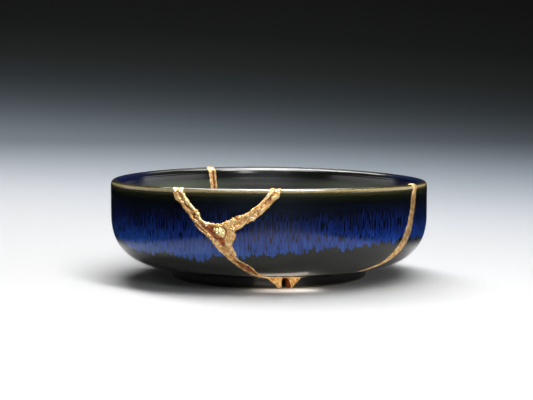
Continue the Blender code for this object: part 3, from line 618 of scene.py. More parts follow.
def y_relief(turn, drop, outside):
    """The gold of the Y: its height over the glaze, how deep a point lies inside its outline, how much of
    the red-brown lacquer shows, with painted shade on the nugget, and how much pale foil, with a painted
    highlight on the nugget.

    The bead has a raised rim and a core crinkled by ripples of 1 to 2 mm. It is cut by wandering
    grooves, sunk in the pit round the nugget and in a patch below it, opened by a long slot in the
    tail, and lower close to the lip."""
    x, y = np.degrees(turn) * DEGREE_AND_DROP[0], drop
    outline = np.concatenate([smooth(side, 3) for side in (Y_LEFT, Y_RIGHT, Y_FORK)])
    deep = inside_by(x, y, outline * DEGREE_AND_DROP)
    crinkled = outside * (1.0 - ease(drop, 52, 60))
    deep = deep + (0.13 * ripples(x, y, 2.2, 3) + 0.10 * ripples(x, y, 1.0, 4)) * (0.4 + 0.6 * outside)
    core = ease(deep, 0.8, 1.6)
    height = bead(deep) + crinkled * (0.12 * np.exp(-((deep - 0.8) / 0.4) ** 2) - 0.14 * core)
    crumpled = 1.0 - np.abs(ripples(x, y, 2.1, 11)) + 0.6 * (1.0 - np.abs(ripples(x, y, 1.3, 12)))
    height = height + crinkled * ease(deep, 0.15, 0.6) * (0.09 + 0.17 * core) * (crumpled - 0.5)
    lacquer_and_shade = crinkled * core * 0.4 * ease(crumpled, 0.30, -0.1)
    wander = 0.20 * ripples(x, y, 2.6, 21)
    for line, rise, half in RIDGES:
        height = height + rise * ridge_share(x + wander, y - wander, line, half) * outside
    for line, depth, half in GROOVES:
        cut = ridge_share(x + wander, y + wander, line, half) * outside * ease(deep, 0.0, 0.5)
        height = height - depth * cut
        lacquer_and_shade = np.maximum(lacquer_and_shade, cut * min(depth / 0.34, 1.0))
    for outline, depth, shown in ((PIT, 1.25, 1.0), (PATCH, 0.45, 0.42), (SLOT, 1.05, 1.0)):
        sink = inside_by(x + 0.10 * ripples(x, y, 1.8, 31), y, rounded(outline))
        sink = np.minimum(sink, deep - 0.75)
        sunk = ease(sink, -0.3, 0.45) * outside
        height = height * (1.0 - sunk) + sunk * (BEAD - depth + 0.12 * ripples(x, y, 1.4, 32))
        lacquer_and_shade = np.maximum(lacquer_and_shade, ease(sink, -0.15, 0.25) * outside * shown)
    inner_ridge = ridge_share(x, y, *RIDGES[-1][::2]) * outside
    height = height + RIDGES[-1][1] * inner_ridge
    height = height * (0.45 + 0.55 * ease(drop, 0.3, 3.5))
    lacquer_and_shade = lacquer_and_shade * (1.0 - 0.55 * inner_ridge)
    lump = inside_by(x, y, rounded(NUGGET))
    dome = np.sqrt(np.clip(lump / 2.3, 0.0, 1.0)) * outside
    height = np.maximum(height, -0.75 + 1.75 * dome + 0.16 * ripples(x, y, 1.9, 34) * (dome > 0))
    # painted highlight and shade on the nugget: the face is painted pale, palest on the upper right, and
    # the rest of the lump and its lower left are painted lacquer-brown as shade
    face = ease(inside_by(x, y, np.array(NUGGET_FACE) * DEGREE_AND_DROP), -0.25, 0.35)
    on_lump = ease(lump, -0.05, 0.2)
    lacquer_and_shade = lacquer_and_shade * (1.0 - on_lump) + 0.55 * (1.0 - face) * on_lump * outside
    painted_light_side = ease((x - y) - NUGGET_MIDDLE, -1.9, 1.1)
    foil_and_highlight = face * ease(lump, 0.0, 0.25) * outside * (0.2 + 0.8 * painted_light_side)
    lacquer_and_shade = np.maximum(lacquer_and_shade, 0.42 * (1.0 - painted_light_side) * ease(lump, 0.0, 0.3) * outside)
    lacquer_and_shade = np.maximum(lacquer_and_shade, 0.45 * ease(drop, 1.8, 0.6) * core)
    # the flecks: pale foil that also paints white glints, raised a little and clear of lacquer
    for angle, low, radius in FLECKS:
        away = np.hypot(x - angle * DEGREE_AND_DROP[0] + wander, 1.3 * (y - low) - wander) / radius
        fleck = ease(away, 1.0, 0.45) * outside
        foil_and_highlight = np.maximum(foil_and_highlight, 0.9 * fleck)
        height = height + 0.16 * fleck
        lacquer_and_shade = lacquer_and_shade * (1.0 - fleck)
    return height, deep, lacquer_and_shade, foil_and_highlight


def front_gold():
    """The Y on both faces: a grid of angle and drop over the rim, kept where the gold is, with its
    underside sunk in the wall."""
    ways = np.arange(RIM_WAY - 66.4, RIM_WAY + 65.9, 0.27)
    ways = np.where(np.abs(ways - RIM_WAY) < 0.14, RIM_WAY, ways)
    turn, way = np.meshgrid(np.radians(np.arange(-127.5, -66.5, 0.19)), ways)
    drop = np.abs(RIM_WAY - way)
    height, deep, lacquer_and_shade, foil_and_highlight = y_relief(turn, drop, 1.0 - ease(way - RIM_WAY, 0.5, 3.0))
    # the tail sinks into the foot's fill
    height = np.where(drop > 63.5, height - 0.12 * (drop - 63.5), height)
    top = place(turn, way, height)
    bottom = place(turn, way, -np.minimum(2.1, 0.9 + 0.3 * drop))
    middle = (deep[:-1, :-1] + deep[1:, 1:]) / 2.0
    marks = {"lacquer_and_painted_shade": lacquer_and_shade, "foil_and_painted_highlight": foil_and_highlight}
    return solid("front_gold", top, bottom, middle > -0.55, marks)


def seam_gold(name, seam, height, seed, painted_groove_shade=0.0):
    """A smooth seam over both faces: columns spread between its two edges and a little beyond them, under
    the glaze, with a rounded crown between, and on the inner wall a red-brown line near its middle, the
    painted shade of a groove in the lacquer's colour."""
    drops, left, right = smooth(seam, 4).T
    reach = drops[-1]
    rows = (np.arange(-reach, -4.0, 0.5), np.arange(-4.0, 4.0, 0.2), np.arange(4.0, min(reach, 66.0), 0.5))
    way = RIM_WAY + np.concatenate(rows)
    drop = np.abs(RIM_WAY - way)
    radius = radius_at(way)
    wobble = 0.10 * ripples(way, way * 0, 5.0, seed) + 0.06 * ripples(way, way * 0, 2.0, seed + 1)
    start = (np.radians(np.interp(drop, drops, left)) * radius + wobble)[:, None]
    wobble = 0.10 * ripples(way, way * 0, 4.0, seed + 2)
    end = (np.radians(np.interp(drop, drops, right)) * radius + wobble)[:, None]
    beyond = np.linspace(-0.55, 0.0, 4)[:-1]
    between = start + (end - start) * np.linspace(0.0, 1.0, 13)
    line = np.concatenate((start + beyond, between, end - beyond[::-1]), axis=1)
    deep = np.minimum(line - start, end - line)
    half = (end - start) / 2.0
    rise = height * ease(half, 0.3, 1.2)
    crown = np.where(deep < 0.0, 1.2 * deep, rise * (1.0 - (1.0 - np.clip(deep / half, 0, 1)) ** 2.2))
    way = way[:, None] + 0.0 * line
    crown = crown + (deep > 0.3) * 0.03 * ripples(line, way, 2.6, seed + 3)
    # level where the foot stands, and sunk under the line on the floor
    crown = np.where(np.interp(way, WAY, HEIGHT) < 0.6, np.minimum(crown, 0.0), crown)
    crown = crown - 0.3 * (1.0 - ease(way, RIM_WAY + 65.9, RIM_WAY + 64.0))
    turn = line / radius[:, None]
    top = place(turn, way, crown)
    bottom = place(turn, way, -np.minimum(2.0, 0.9 + 0.3 * drop)[:, None])
    share = (line - start) / (end - start)
    # painted shade of a groove: a red-brown line on the inner side, near the middle of the seam
    lacquer_and_shade = painted_groove_shade * np.exp(-((share - 0.43) / 0.17) ** 2) * ease(way, RIM_WAY + 1.5, RIM_WAY + 3.0)
    return solid(name, top, bottom, None, {"lacquer_and_painted_shade": lacquer_and_shade, "foil_and_painted_highlight": 0.0 * line})


def map_line(line, inside):
    """A line's points as x, y and width in millimetres, on the underside or on the floor."""
    angle, drop, wide = np.array(line, float).T
    radius = radius_at(RIM_WAY + drop if inside else RIM_WAY - drop)
    return smooth(np.column_stack((on_plan(angle, radius), wide)), 5)


def flat_gold(name, inside):
    """The lines on the flat floor, or in the recess under the base: an even grid of x and y, kept where
    a line or the foot's fill runs, raised by the bead."""
    reach = 51.2 if inside else 43.4
    x, y = np.meshgrid(np.arange(-reach, reach, 0.36), np.arange(-reach, reach, 0.36))
    deep = np.full(x.shape, -np.inf)
    for line in (FRONT_LINE, BACK_LINE):
        deep = np.maximum(deep, inside_line(x, y, map_line(line, inside)))
    drop, left, right = smooth(FOOT_FILL, 4).T
    radius = radius_at(RIM_WAY + drop if inside else RIM_WAY - drop)
    fill = np.concatenate((on_plan(left, radius), on_plan(right, radius)[::-1]))
    deep = np.maximum(deep, inside_by(x, y, fill))
    deep = deep + 0.10 * ripples(x, y, 2.5, 41)
    height = bead(deep) + ease(deep, 0.1, 0.8) * 0.05 * ripples(x, y, 1.6, 42)
    away = np.hypot(x, y)
    level, up = (FLOOR_HEIGHT, 1.0) if inside else (RECESS_DEPTH, -1.0)
    top = np.stack((x, y, level + up * height), axis=-1) * MM
    bottom = np.stack((x, y, level - up * 1.4 + 0.0 * x), axis=-1) * MM
    middle = (deep[:-1, :-1] + deep[1:, 1:]) / 2.0
    keep = (middle > -0.5) & (away[:-1, :-1] < reach) & (away[1:, 1:] < reach)
    return solid(name, top, bottom, keep, {"lacquer_and_painted_shade": 0.0 * x, "foil_and_painted_highlight": 0.0 * x})


def foot_gold():
    """The fill of the foot ring: the ring's outline carried along an arc between two slanting edges,
    with every point under the arched notch raised to the arch, and closed by a level top inside the
    clay. The notch's right wall flares outwards."""
    rows = (np.arange(RECESS_WAY - 0.6, FOOT_WAY, 0.22), np.arange(FOOT_WAY, FOOT_WAY + 4.2, 0.3))
    way = np.concatenate(rows)
    drops, left, right = smooth(FOOT_FILL, 4).T
    start = np.radians(np.interp(RIM_WAY - way, drops, left))
    end = np.radians(np.interp(RIM_WAY - way, drops, right))
    turn = start[:, None] + (end - start)[:, None] * np.linspace(0.0, 1.0, 220)
    grid = way[:, None] + 0.0 * turn
    radius = radius_at(grid)
    deep = np.minimum(turn - start[:, None], end[:, None] - turn) * radius
    rough = 0.07 * ripples(turn * radius, grid, 1.5, 51) + 0.05 * ripples(turn * radius, grid, 0.8, 52)
    low = np.interp(grid, WAY, HEIGHT) < 0.75
    raised = np.where(low, 0.0, np.minimum(0.16, 0.04 + 0.25 * deep) + rough * ease(deep, 0.0, 0.5))
    top = place(turn, grid, raised) / MM
    facing = math.radians(NOTCH_ANGLE)
    across = -top[..., 0] * math.sin(facing) + top[..., 1] * math.cos(facing)
    inward = np.clip(FOOT_RADIUS - np.hypot(top[..., 0], top[..., 1]), 0.0, 3.0)
    across = across + NOTCH_FLARE * inward * ease(across, -1.2, 0.8)
    shares, rises = np.array(NOTCH_OUTLINE).T
    arch = np.interp(across, shares * NOTCH_WIDTH / 2.0, rises * NOTCH_HEIGHT, left=-1.0, right=-1.0)
    in_notch = arch > top[..., 2]
    top[..., 2] = np.minimum(np.maximum(top[..., 2], arch), FILL_TOP - 0.01)
    bottom = top.copy()
    bottom[..., 2] = FILL_TOP
    marks = {"lacquer_and_painted_shade": in_notch * 0.75, "foil_and_painted_highlight": 0.0 * turn}
    return solid("foot_gold", top * MM, bottom * MM, None, marks)


# Materials

def linear(code):
    """An sRGB hex colour as linear red, green, blue and alpha."""
    parts = np.array([int(code[i:i + 2], 16) for i in (1, 3, 5)]) / 255.0
    parts = np.where(parts <= 0.04045, parts / 12.92, ((parts + 0.055) / 1.055) ** 2.4)
    return (*parts.tolist(), 1.0)


def add(tree, kind, settings=None, out=0, **inputs):
    """Adds a node, with its settings, and links or sets its inputs, and returns one of its outputs. An
    input's name is given with underscores, or as in_0 for its number. Colours are hex, and a setting
    named stops fills a ramp."""
    node = tree.nodes.new(kind)
    for name, value in (settings or {}).items():
        if name != "stops":
            setattr(node, name, value)
            continue
        for number, (position, code) in enumerate(value):
            new = number >= len(node.color_ramp.elements)
            stop = node.color_ramp.elements.new(position) if new else node.color_ramp.elements[number]
            stop.position = position
            stop.color = linear(code)
    for name, value in inputs.items():
        key = int(name[3:]) if name.startswith("in_") else name.replace("_", " ")
        socket = node.inputs[key]
        if isinstance(value, bpy.types.NodeSocket):
            tree.links.new(value, socket)
        else:
            socket.default_value = linear(value) if isinstance(value, str) else value
    return node.outputs[out]


def new_material(name):
    """A material with its node tree and shader."""
    material = bpy.data.materials.new(name)
    material.use_nodes = True
    return material, material.node_tree, material.node_tree.nodes["Principled BSDF"]


NOISE, MATH, RANGE, MIX, RAMP = (
    "ShaderNodeTexNoise", "ShaderNodeMath", "ShaderNodeMapRange", "ShaderNodeMix", "ShaderNodeValToRGB",
)
TIMES, PLUS, TIMES_PLUS = {"operation": "MULTIPLY"}, {"operation": "ADD"}, {"operation": "MULTIPLY_ADD"}
SOFT_STEP = {"interpolation_type": "SMOOTHSTEP"}
COLOURS = {"data_type": "RGBA"}


def glaze():
    """Iron glaze on stoneware, thrown, dipped in a dark tenmoku and poured over with a rutile blue,
    fired glossy.

    To the eye: a thin tan edge where it runs off the lip, oil black below it, a band of blue hare's fur
    with dark drips that ends in rounded fingers, smooth grey-olive below, a near-black foot, and bare
    clay where it stands."""
    material, tree, shader = new_material("iron_glaze_blue_hares_fur")
    place_of = add(tree, "ShaderNodeAttribute", {"attribute_name": "glaze_place"}, "Vector")
    below = add(tree, "ShaderNodeAttribute", {"attribute_name": "below_band"}, "Fac")
    parts = add(tree, "ShaderNodeSeparateXYZ", Vector=place_of).node
    drop, inner = parts.outputs["Y"], parts.outputs["Z"]

    # the grain runs down the wall: hairs and drips 1 mm apart, fingers with round ends 2 mm apart, and
    # round it the rings from throwing
    grain = {}
    for name, stretch, size, detail, roughness in (
        ("hairs", (1.0, 0.09, 1.0), 950.0, 3.0, 0.6),
        ("drips", (1.0, 0.13, 1.0), 1450.0, 2.0, 0.5),
        ("fingers", (1.0, 0.40, 1.0), 300.0, 1.0, 0.35),
        ("rings", (0.05, 1.0, 1.0), 240.0, 1.0, 0.5),
    ):
        way = add(tree, "ShaderNodeVectorMath", {"operation": "MULTIPLY"}, in_0=place_of, in_1=stretch)
        grain[name] = add(tree, NOISE, Vector=way, Scale=size, Detail=detail, Roughness=roughness)
    way_round = parts.outputs["X"]
    lobes = add(tree, "ShaderNodeTexVoronoi", {"voronoi_dimensions": "1D"}, W=way_round, Scale=520.0)
    lobes = add(tree, MATH, TIMES, in_0=lobes, in_1=lobes)
    spot = add(tree, "ShaderNodeTexCoord", None, "Object")
    clouds = add(tree, NOISE, Vector=spot, Scale=60.0, Detail=2.0)

    # the blue deepens down the band, and each hair starts it a little sooner or later
    started = add(tree, MATH, TIMES_PLUS, in_0=grain["hairs"], in_1=0.016, in_2=drop)
    started = add(tree, MATH, TIMES_PLUS, in_0=clouds, in_1=0.010, in_2=started)
    depth = add(tree, RANGE, Value=started, From_Min=0.0195, From_Max=0.0445)
    blue = add(tree, RAMP, {"stops": (
        (0.0, "#0b0f0e"), (0.20, "#0b1122"), (0.42, "#0d1a49"), (0.62, "#132a6c"), (0.82, "#1b3d88"),
        (1.0, "#254d98"),
    )}, Fac=depth)
    # dark drips, many high in the band and few low down
    bare = add(tree, RANGE, Value=drop, From_Min=0.012, From_Max=0.034, To_Min=0.43, To_Max=0.57)
    bare_end = add(tree, MATH, PLUS, in_0=bare, in_1=0.13)
    drip = add(tree, RANGE, SOFT_STEP, Value=grain["drips"], From_Min=bare, From_Max=bare_end, To_Max=0.95)
    blue = add(tree, MIX, COLOURS, 2, in_0=drip, in_6=blue, in_7="#060912")
    # the band ends in fingers and lobes
    ragged = add(tree, MATH, TIMES_PLUS, in_0=grain["fingers"], in_1=0.007, in_2=below)
    ragged = add(tree, MATH, TIMES_PLUS, in_0=lobes, in_1=0.0042, in_2=ragged)
    edge = add(tree, RANGE, SOFT_STEP, Value=ragged, From_Min=0.0037, From_Max=0.0044)
    olive = add(tree, RAMP, {"stops": ((0.25, "#1a1c18"), (0.75, "#25271f"))}, Fac=clouds)
    outside = add(tree, MIX, COLOURS, 2, in_0=edge, in_6=blue, in_7=olive)

    # over the lip: dark inside, a speckled tan line where the glaze thins, olive below it; 12 mm each way
    speckle = add(tree, NOISE, Vector=place_of, Scale=1700.0, Detail=2.0, Roughness=0.6)
    side = add(tree, MATH, TIMES_PLUS, in_0=inner, in_1=-2.0, in_2=1.0)
    signed = add(tree, MATH, TIMES, in_0=drop, in_1=side)
    signed = add(tree, MATH, TIMES_PLUS, in_0=speckle, in_1=0.0026, in_2=signed)
    over_lip = add(tree, RANGE, Value=signed, From_Min=-0.012, From_Max=0.012)
    lip = add(tree, RAMP, {"stops": (
        (0.0, "#070a09"), (0.36, "#10140f"), (0.50, "#1a1b11"), (0.606, "#4a4429"), (0.630, "#c4b284"),
        (0.652, "#9b8759"), (0.680, "#3f3d24"), (0.76, "#161a0e"), (0.90, "#050705"),
    )}, Fac=over_lip)
    inside = add(tree, RAMP, {"stops": ((0.3, "#090d0b"), (0.7, "#161a12"))}, Fac=clouds)
    aside = add(tree, "ShaderNodeSeparateXYZ", Vector=spot)
    aside = add(tree, MATH, {"operation": "ABSOLUTE"}, in_0=aside)
    # painted sheen: the inside is painted a paler olive-grey towards the far left and right and near the
    # lip, fading down the wall, standing in for mirrored lamps
    painted_sheen = add(tree, RANGE, SOFT_STEP, Value=aside, From_Min=0.006, From_Max=0.050)
    shallow = add(tree, RANGE, SOFT_STEP, Value=drop, From_Min=0.026, From_Max=0.010, To_Max=0.8)
    painted_sheen = add(tree, MATH, TIMES, in_0=painted_sheen, in_1=shallow)
    inside = add(tree, MIX, COLOURS, 2, in_0=painted_sheen, in_6=inside, in_7="#5c6852")
    near_lip = add(tree, RANGE, SOFT_STEP, Value=drop, From_Min=0.010, From_Max=0.006)
    # painted reflection: blue painted inside the lip at the far left and right
    side_blue_reflection = add(tree, RANGE, SOFT_STEP, Value=aside, From_Min=0.058, From_Max=0.078, To_Max=0.5)
    high = add(tree, RANGE, SOFT_STEP, Value=drop, From_Min=0.014, From_Max=0.004)
    for share in (inner, high):
        side_blue_reflection = add(tree, MATH, TIMES, in_0=side_blue_reflection, in_1=share)

    # the foot: near black, with bare clay where it stands
    under = add(tree, RANGE, SOFT_STEP, Value=drop, From_Min=0.0645, From_Max=0.0665)
    clamped = {"operation": "MULTIPLY_ADD", "use_clamp": True}
    foot = add(tree, MATH, clamped, in_0=inner, in_1=-1.0, in_2=under)
    reached = add(tree, RANGE, SOFT_STEP, Value=drop, From_Min=0.0710, From_Max=0.0716)
    left = add(tree, RANGE, SOFT_STEP, Value=drop, From_Min=0.0784, From_Max=0.0780)
    tread = foot
    for share in (reached, left):
        tread = add(tree, MATH, TIMES, in_0=tread, in_1=share)
    grit = add(tree, NOISE, Vector=place_of, Scale=2500.0, Detail=3.0, Roughness=0.65)
    clay = add(tree, RAMP, {"stops": ((0.3, "#4d4630"), (0.7, "#7d7350"))}, Fac=grit)

    colour = outside
    for share, coat in (
        (inner, inside), (near_lip, lip), (side_blue_reflection, "#10205c"), (foot, "#040404"), (tread, clay),
    ):
        colour = add(tree, MIX, COLOURS, 2, in_0=share, in_6=colour, in_7=coat)
    tree.links.new(colour, shader.inputs["Base Color"])
    satin = add(
        tree, RANGE, SOFT_STEP, Value=drop, From_Min=0.003, From_Max=0.012, To_Min=0.06, To_Max=0.30,
    )
    rough = 0.10
    for share, more in ((inner, satin), (foot, 0.12), (tread, 0.38)):
        rough = add(tree, MATH, TIMES_PLUS, in_0=share, in_1=more, in_2=rough)
    tree.links.new(rough, shader.inputs["Roughness"])
    shader.inputs["IOR"].default_value = 1.46

    # faint throwing rings, the runs of the glaze, and an inner wall that leans out a little towards the lip
    lean = add(tree, RANGE, SOFT_STEP, Value=drop, From_Min=-0.010, From_Max=0.016, To_Max=0.0028)
    lean = add(tree, MATH, TIMES, in_0=lean, in_1=inner)
    swell = add(tree, MATH, TIMES_PLUS, in_0=clouds, in_1=0.00012, in_2=lean)
    swell = add(tree, MATH, TIMES_PLUS, in_0=grain["rings"], in_1=0.00002, in_2=swell)
    bump = add(tree, "ShaderNodeBump", Strength=1.0, Distance=1.0, Height=swell)
    tree.links.new(bump, shader.inputs["Normal"])
    return material


def gold(name, roughness, grain, mottled):
    """Gold powder dusted on wet urushi lacquer and left unburnished, over raised lacquer paste.

    To the eye: a bright, grainy gold, paler on its ridges, with red-brown lacquer in its hollows and flecks
    of foil. The lacquer colour also paints shade on the nugget and along the back seam, and the pale
    colours paint the nugget's highlight and glints on grains and flecks."""
    material, tree, shader = new_material(name)
    where = add(tree, "ShaderNodeTexCoord", None, "Object")
    lacquer_and_shade = add(tree, "ShaderNodeAttribute", {"attribute_name": "lacquer_and_painted_shade"}, "Fac")
    foil_and_highlight = add(tree, "ShaderNodeAttribute", {"attribute_name": "foil_and_painted_highlight"}, "Fac")
    # patches about 2 mm wide, and powder grains under half a millimetre
    patches = add(tree, NOISE, Vector=where, Scale=480.0, Detail=3.0, Roughness=0.6)
    grains = add(tree, NOISE, Vector=where, Scale=2300.0, Detail=3.0, Roughness=0.7)
    stops = ((0.32, "#bd8034"), (0.50, "#f2c176"), (0.66, "#ffecc0"))
    powder = add(tree, RAMP, {"stops": stops}, Fac=patches)
    # paler grains of powder, which also paint glints
    pale = add(tree, RANGE, SOFT_STEP, Value=grains, From_Min=0.56, From_Max=0.66, To_Max=0.9)
    brown = add(tree, RANGE, SOFT_STEP, Value=grains, From_Min=0.44, From_Max=0.30, To_Max=mottled)
    lacquer = add(tree, RAMP, {"stops": ((0.35, "#6e2405"), (0.65, "#c46a26"))}, Fac=patches)
    shown = add(tree, RANGE, SOFT_STEP, Value=lacquer_and_shade, From_Min=0.16, From_Max=0.70)
    colour = powder
    for share, over in ((pale, "#fff3cf"), (brown, "#7c4315"), (foil_and_highlight, "#f6dfa6"), (shown, lacquer)):
        colour = add(tree, MIX, COLOURS, 2, in_0=share, in_6=colour, in_7=over)
    tree.links.new(colour, shader.inputs["Base Color"])
    tree.links.new(add(tree, RANGE, Value=shown, To_Min=0.84, To_Max=0.1), shader.inputs["Metallic"])
    shader.inputs["Roughness"].default_value = roughness
    height = add(tree, MATH, TIMES_PLUS, in_0=patches, in_1=0.8, in_2=grains)
    bump = add(tree, "ShaderNodeBump", Strength=grain, Distance=0.0004, Height=height)
    tree.links.new(bump, shader.inputs["Normal"])
    return material


# The pieces

iron_glaze = glaze()
crinkled_gold = gold("gold_powder_on_crinkled_lacquer", 0.27, 1.0, 0.6)
satin_gold = gold("gold_powder_on_smooth_lacquer", 0.48, 0.30, 0.2)

SHARDS = (
    ("front_shard", FRONT_SHARD_RIGHT, FRONT_SHARD_LEFT, RIM_WAY - 17.4),
    ("left_shard", LEFT_SHARD_FRONT, LEFT_SHARD_BACK, 0.0),
    ("right_shard", RIGHT_SHARD_RIGHT, RIGHT_SHARD_FRONT, RIM_WAY - 61.0),
    ("back_shard", BACK_SHARD_BACK, BACK_SHARD_RIGHT, 0.0),
)
for shard_name, right_edge, left_edge, first in SHARDS:
    made = shard(shard_name + "_glazed", right_edge, left_edge, first)
    finish_piece(made, iron_glaze, shard_name)

GOLD = (
    (front_gold(), crinkled_gold),
    (foot_gold(), crinkled_gold),
    (seam_gold("right_gold", RIGHT_SEAM, 0.46, 60), satin_gold),
    (seam_gold("back_gold", BACK_SEAM, 0.44, 70, 0.9), satin_gold),
    (flat_gold("floor_gold", True), satin_gold),
    (flat_gold("base_gold", False), satin_gold),
)
for made, material in GOLD:
    finish_piece(made, material, "gold_repair")


# The studio

PAPER_DEPTH = 1.5
PAPER_BEND = 0.5
PAPER_SKEW = 0.066
CAMERA_PLACE = (-0.001254, -0.77484, 0.10692)
# the paper's colour by the slope at which it is seen
PAPER_TONES = (
    (0.10, "#ececec"), (0.20, "#e4e4e4"), (0.30, "#d8d8d8"), (0.40, "#cacbcd"), (0.46, "#bfc2c7"),
    (0.50, "#b0b5bd"), (0.54, "#9ba4ac"), (0.57, "#868f98"), (0.60, "#6b737b"), (0.62, "#5a6168"),
    (0.64, "#4b5155"), (0.66, "#3e4448"), (0.68, "#34393c"), (0.72, "#282a29"), (0.78, "#1a1c1b"),
    (0.87, "#121312"),
)


def graded_paper():
    """Matt seamless paper, sprayed from white through grey to black.

    To the eye: a white table that turns grey and then black behind, without a corner."""
    material, tree, shader = new_material("graded_seamless_paper")
    sight = add(tree, "ShaderNodeAttribute", {"attribute_name": "sight"}, "Fac")
    colour = add(tree, RAMP, {"stops": PAPER_TONES}, Fac=sight)
    tree.links.new(colour, shader.inputs["Base Color"])
    shader.inputs["Roughness"].default_value = 0.9
    shader.inputs["Specular IOR Level"].default_value = 0.1
    return material


def studio_paper():
    """The table and the backdrop in one sheet: level, then a quarter circle, then upright, carried
    across.

    Its attribute says how far above the level of the eye each point is seen from the camera's place, as
    a slope from -0.25 to 0.10 spread over 0 to 1, and less on the left, so that the grading lies a
    little askew."""
    level = np.stack((np.linspace(-2.2, PAPER_DEPTH, 60), np.zeros(60)), axis=1)
    turn = np.linspace(0.0, np.pi / 2.0, 40)[1:]
    bend = np.stack((PAPER_DEPTH + PAPER_BEND * np.sin(turn), PAPER_BEND * (1.0 - np.cos(turn))), axis=1)
    upright = np.column_stack((np.full(10, PAPER_DEPTH + PAPER_BEND), np.linspace(PAPER_BEND, 2.5, 11)[1:]))
    profile = np.concatenate((level, bend, upright))
    across = np.linspace(-2.5, 2.5, 40)
    grid = np.zeros((len(profile), len(across), 3))
    grid[..., 0] = across[None, :]
    grid[..., 1:] = profile[:, None, :]
    away = np.maximum(grid[..., 1] - CAMERA_PLACE[1], 0.2)
    slope = (grid[..., 2] - CAMERA_PLACE[2]) / away + PAPER_SKEW * grid[..., 0] / away
    cells = grid_cells(*grid.shape[:2])
    mesh = bpy.data.meshes.new("studio_paper")
    mesh.from_pydata(grid.reshape(-1, 3).tolist(), [], cells.tolist())
    write_mark(mesh, "sight", np.clip((slope + 0.25) / 0.35, 0.0, 1.0).ravel())
    mesh.shade_smooth()
    mesh.materials.append(graded_paper())
    in_scene(bpy.data.objects.new("studio_paper", mesh))


def dark_cards():
    """Black cards round the dish, an oval ring seen only in reflections, low at the sides and tall in
    front, as card is stood round a glossy pot. It thins to nothing at the table, so that its reflection
    starts softly. Near the middle, in front and behind, the cards glow grey-blue as a painted reflection of
    the lit table, and at the far sides they stay black."""
    turn = np.linspace(0.0, 2.0 * np.pi, 97)[:-1]
    ring = np.stack((0.095 * np.cos(turn), 0.185 * np.sin(turn)), axis=1)
    tall = 0.05 + 0.30 * ease(-np.sin(turn), 0.80, 0.95)
    points = np.concatenate((np.column_stack((ring, 0.0 * tall + 0.001)), np.column_stack((ring, tall))))
    index = np.arange(len(turn))
    after = (index + 1) % len(turn)
    faces = np.stack((after, index, index + len(turn), after + len(turn)), axis=1)
    mesh = bpy.data.meshes.new("dark_cards")
    mesh.from_pydata(points.tolist(), [], faces.tolist())
    material, tree, shader = new_material("black_card_with_glow")
    shader.inputs["Base Color"].default_value = linear("#000000")
    shader.inputs["Specular IOR Level"].default_value = 0.0
    shader.inputs["Emission Color"].default_value = linear("#566479")
    place_of = add(tree, "ShaderNodeTexCoord", None, "Object")
    spot = add(tree, "ShaderNodeSeparateXYZ", None, Vector=place_of).node
    aside = add(tree, MATH, {"operation": "ABSOLUTE"}, in_0=spot.outputs["X"])
    leftward = add(tree, MATH, TIMES, in_0=spot.outputs["X"], in_1=-1.9)
    leftward = add(tree, MATH, {"operation": "MAXIMUM"}, in_0=leftward, in_1=spot.outputs["X"])
    closed = add(tree, RANGE, Value=leftward, From_Min=0.04, From_Max=0.09, To_Min=0.031, To_Max=0.014)
    solid_by = add(tree, RANGE, SOFT_STEP, Value=spot.outputs["Z"], From_Min=0.0, From_Max=closed)
    tree.links.new(solid_by, shader.inputs["Alpha"])
    # painted reflection: the cards glow grey-blue near the middle, standing in for the lit table
    grey = add(tree, RANGE, Value=aside, From_Min=0.035, From_Max=0.085, To_Min=1.35, To_Max=0.05)
    tree.links.new(grey, shader.inputs["Emission Strength"])
    mesh.materials.append(material)
    obj = in_scene(bpy.data.objects.new("dark_cards", mesh))
    for way_seen in ("visible_camera", "visible_diffuse", "visible_shadow", "visible_transmission"):
        setattr(obj, way_seen, False)


def lamp(name, location, aim, size, power, code):
    """A softbox aimed at a point."""
    data = bpy.data.lights.new(name, "AREA")
    data.shape = "RECTANGLE"
    data.size, data.size_y = size
    data.energy = power
    data.color = linear(code)[:3]
    obj = bpy.data.objects.new(name, data)
    obj.location = location
    towards = np.array(aim) - np.array(location)
    away = math.hypot(towards[0], towards[1])
    heading = math.atan2(-towards[0], towards[1]) if away > 1e-6 else 0.0
    obj.rotation_euler = (math.atan2(away, -towards[2]), 0.0, heading)
    obj.visible_camera = False
    return in_scene(obj)


studio_paper()
dark_cards()

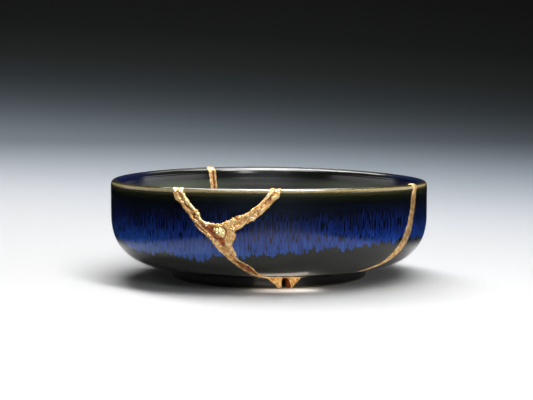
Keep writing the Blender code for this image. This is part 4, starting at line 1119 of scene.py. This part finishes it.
# each lamp's place, aim, size, watts and colour, and whether it is seen as light, as shine, or as both
DISH = (0.0, 0.0, 0.05)
COVE = (0.0055, -0.0594, 0.0005)
FRONT = (0.009, -0.0565)
BOTH, LIGHT, SHINE = (), ("visible_glossy",), ("visible_diffuse",)
for name, location, aim, size, power, code, hidden in (
    ("overhead_softbox", (0.05, 0.04, 0.95), (0.0, 0.0, 0.0), (1.90, 0.18), 17.0, "#ffffff", BOTH),
    ("front_softbox", (0.32, -1.15, 0.75), (0.0, 0.0, 0.02), (0.6, 0.35), 1.8, "#ffffff", BOTH),
    ("backdrop_softbox", (0.0, 1.3, 1.4), (0.0, 1.5, 0.0), (1.6, 0.8), 9.5, "#ffffff", BOTH),
    ("side_softbox", (0.90, -0.25, 0.20), (0.0, 0.0, 0.0), (0.3, 0.2), 1.9, "#ffffff", LIGHT),
    ("overhead_shine", (0.0, -0.08, 0.90), DISH, (0.90, 1.10), 38.0, "#ffffff", SHINE),
    ("front_shine", (0.10, -1.05, 0.70), DISH, (0.8, 0.4), 15.0, "#ffffff", SHINE),
    ("left_shine", (-0.60, 0.0, 0.15), DISH, (0.8, 0.16), 0.7, "#ffffff", SHINE),
    ("right_shine", (0.60, 0.0, 0.15), DISH, (0.8, 0.16), 0.9, "#ffffff", SHINE),
    ("overhead_on_gold", (0.0, -0.25, 0.90), DISH, (0.34, 0.38), 12.5, "#ffffff", SHINE),
    # strips that the hollow above the foot mirrors, the smaller the brighter
    ("cove_shine", COVE, (*COVE[:2], 1.0), (0.030, 0.0070), 0.0008, "#fff0dc", SHINE),
    ("cove_shine_inner", COVE, (*COVE[:2], 1.0), (0.020, 0.0048), 0.0005, "#fff0dc", SHINE),
    ("cove_shine_core", COVE, (*COVE[:2], 1.0), (0.011, 0.0030), 0.0003, "#fff0dc", SHINE),
    # the glow that the fill throws back on the table in front of the foot
    ("foot_light", (*FRONT, 0.0062), (*FRONT, 0.0), (0.026, 0.005), 0.0019, "#fff9f0", BOTH),
):
    made = lamp(name, location, aim, size, power, code)
    for way_seen in hidden:
        setattr(made, way_seen, False)

# the large panel overhead shows in the glaze alone, because it would bleach the gold
glazed = bpy.data.collections.new("glazed")
for obj in bpy.context.scene.objects:
    if obj.type == "MESH" and obj.name.endswith("_glazed"):
        glazed.objects.link(obj)
bpy.data.objects["overhead_shine"].light_linking.receiver_collection = glazed

world = bpy.data.worlds.new("studio")
world.use_nodes = True
world.node_tree.nodes["Background"].inputs["Color"].default_value = linear("#c9ccd2")
world.node_tree.nodes["Background"].inputs["Strength"].default_value = 0.13
bpy.context.scene.world = world
bpy.context.scene.view_settings.view_transform = "Standard"

camera_data = bpy.data.cameras.new("camera")
camera_data.lens = 100.0
camera_data.sensor_width = 36.0
camera = in_scene(bpy.data.objects.new("camera", camera_data))
camera.location = CAMERA_PLACE
camera.rotation_euler = (math.radians(85.03), 0.0, 0.0)
bpy.context.scene.camera = camera

bpy.context.view_layer.update()
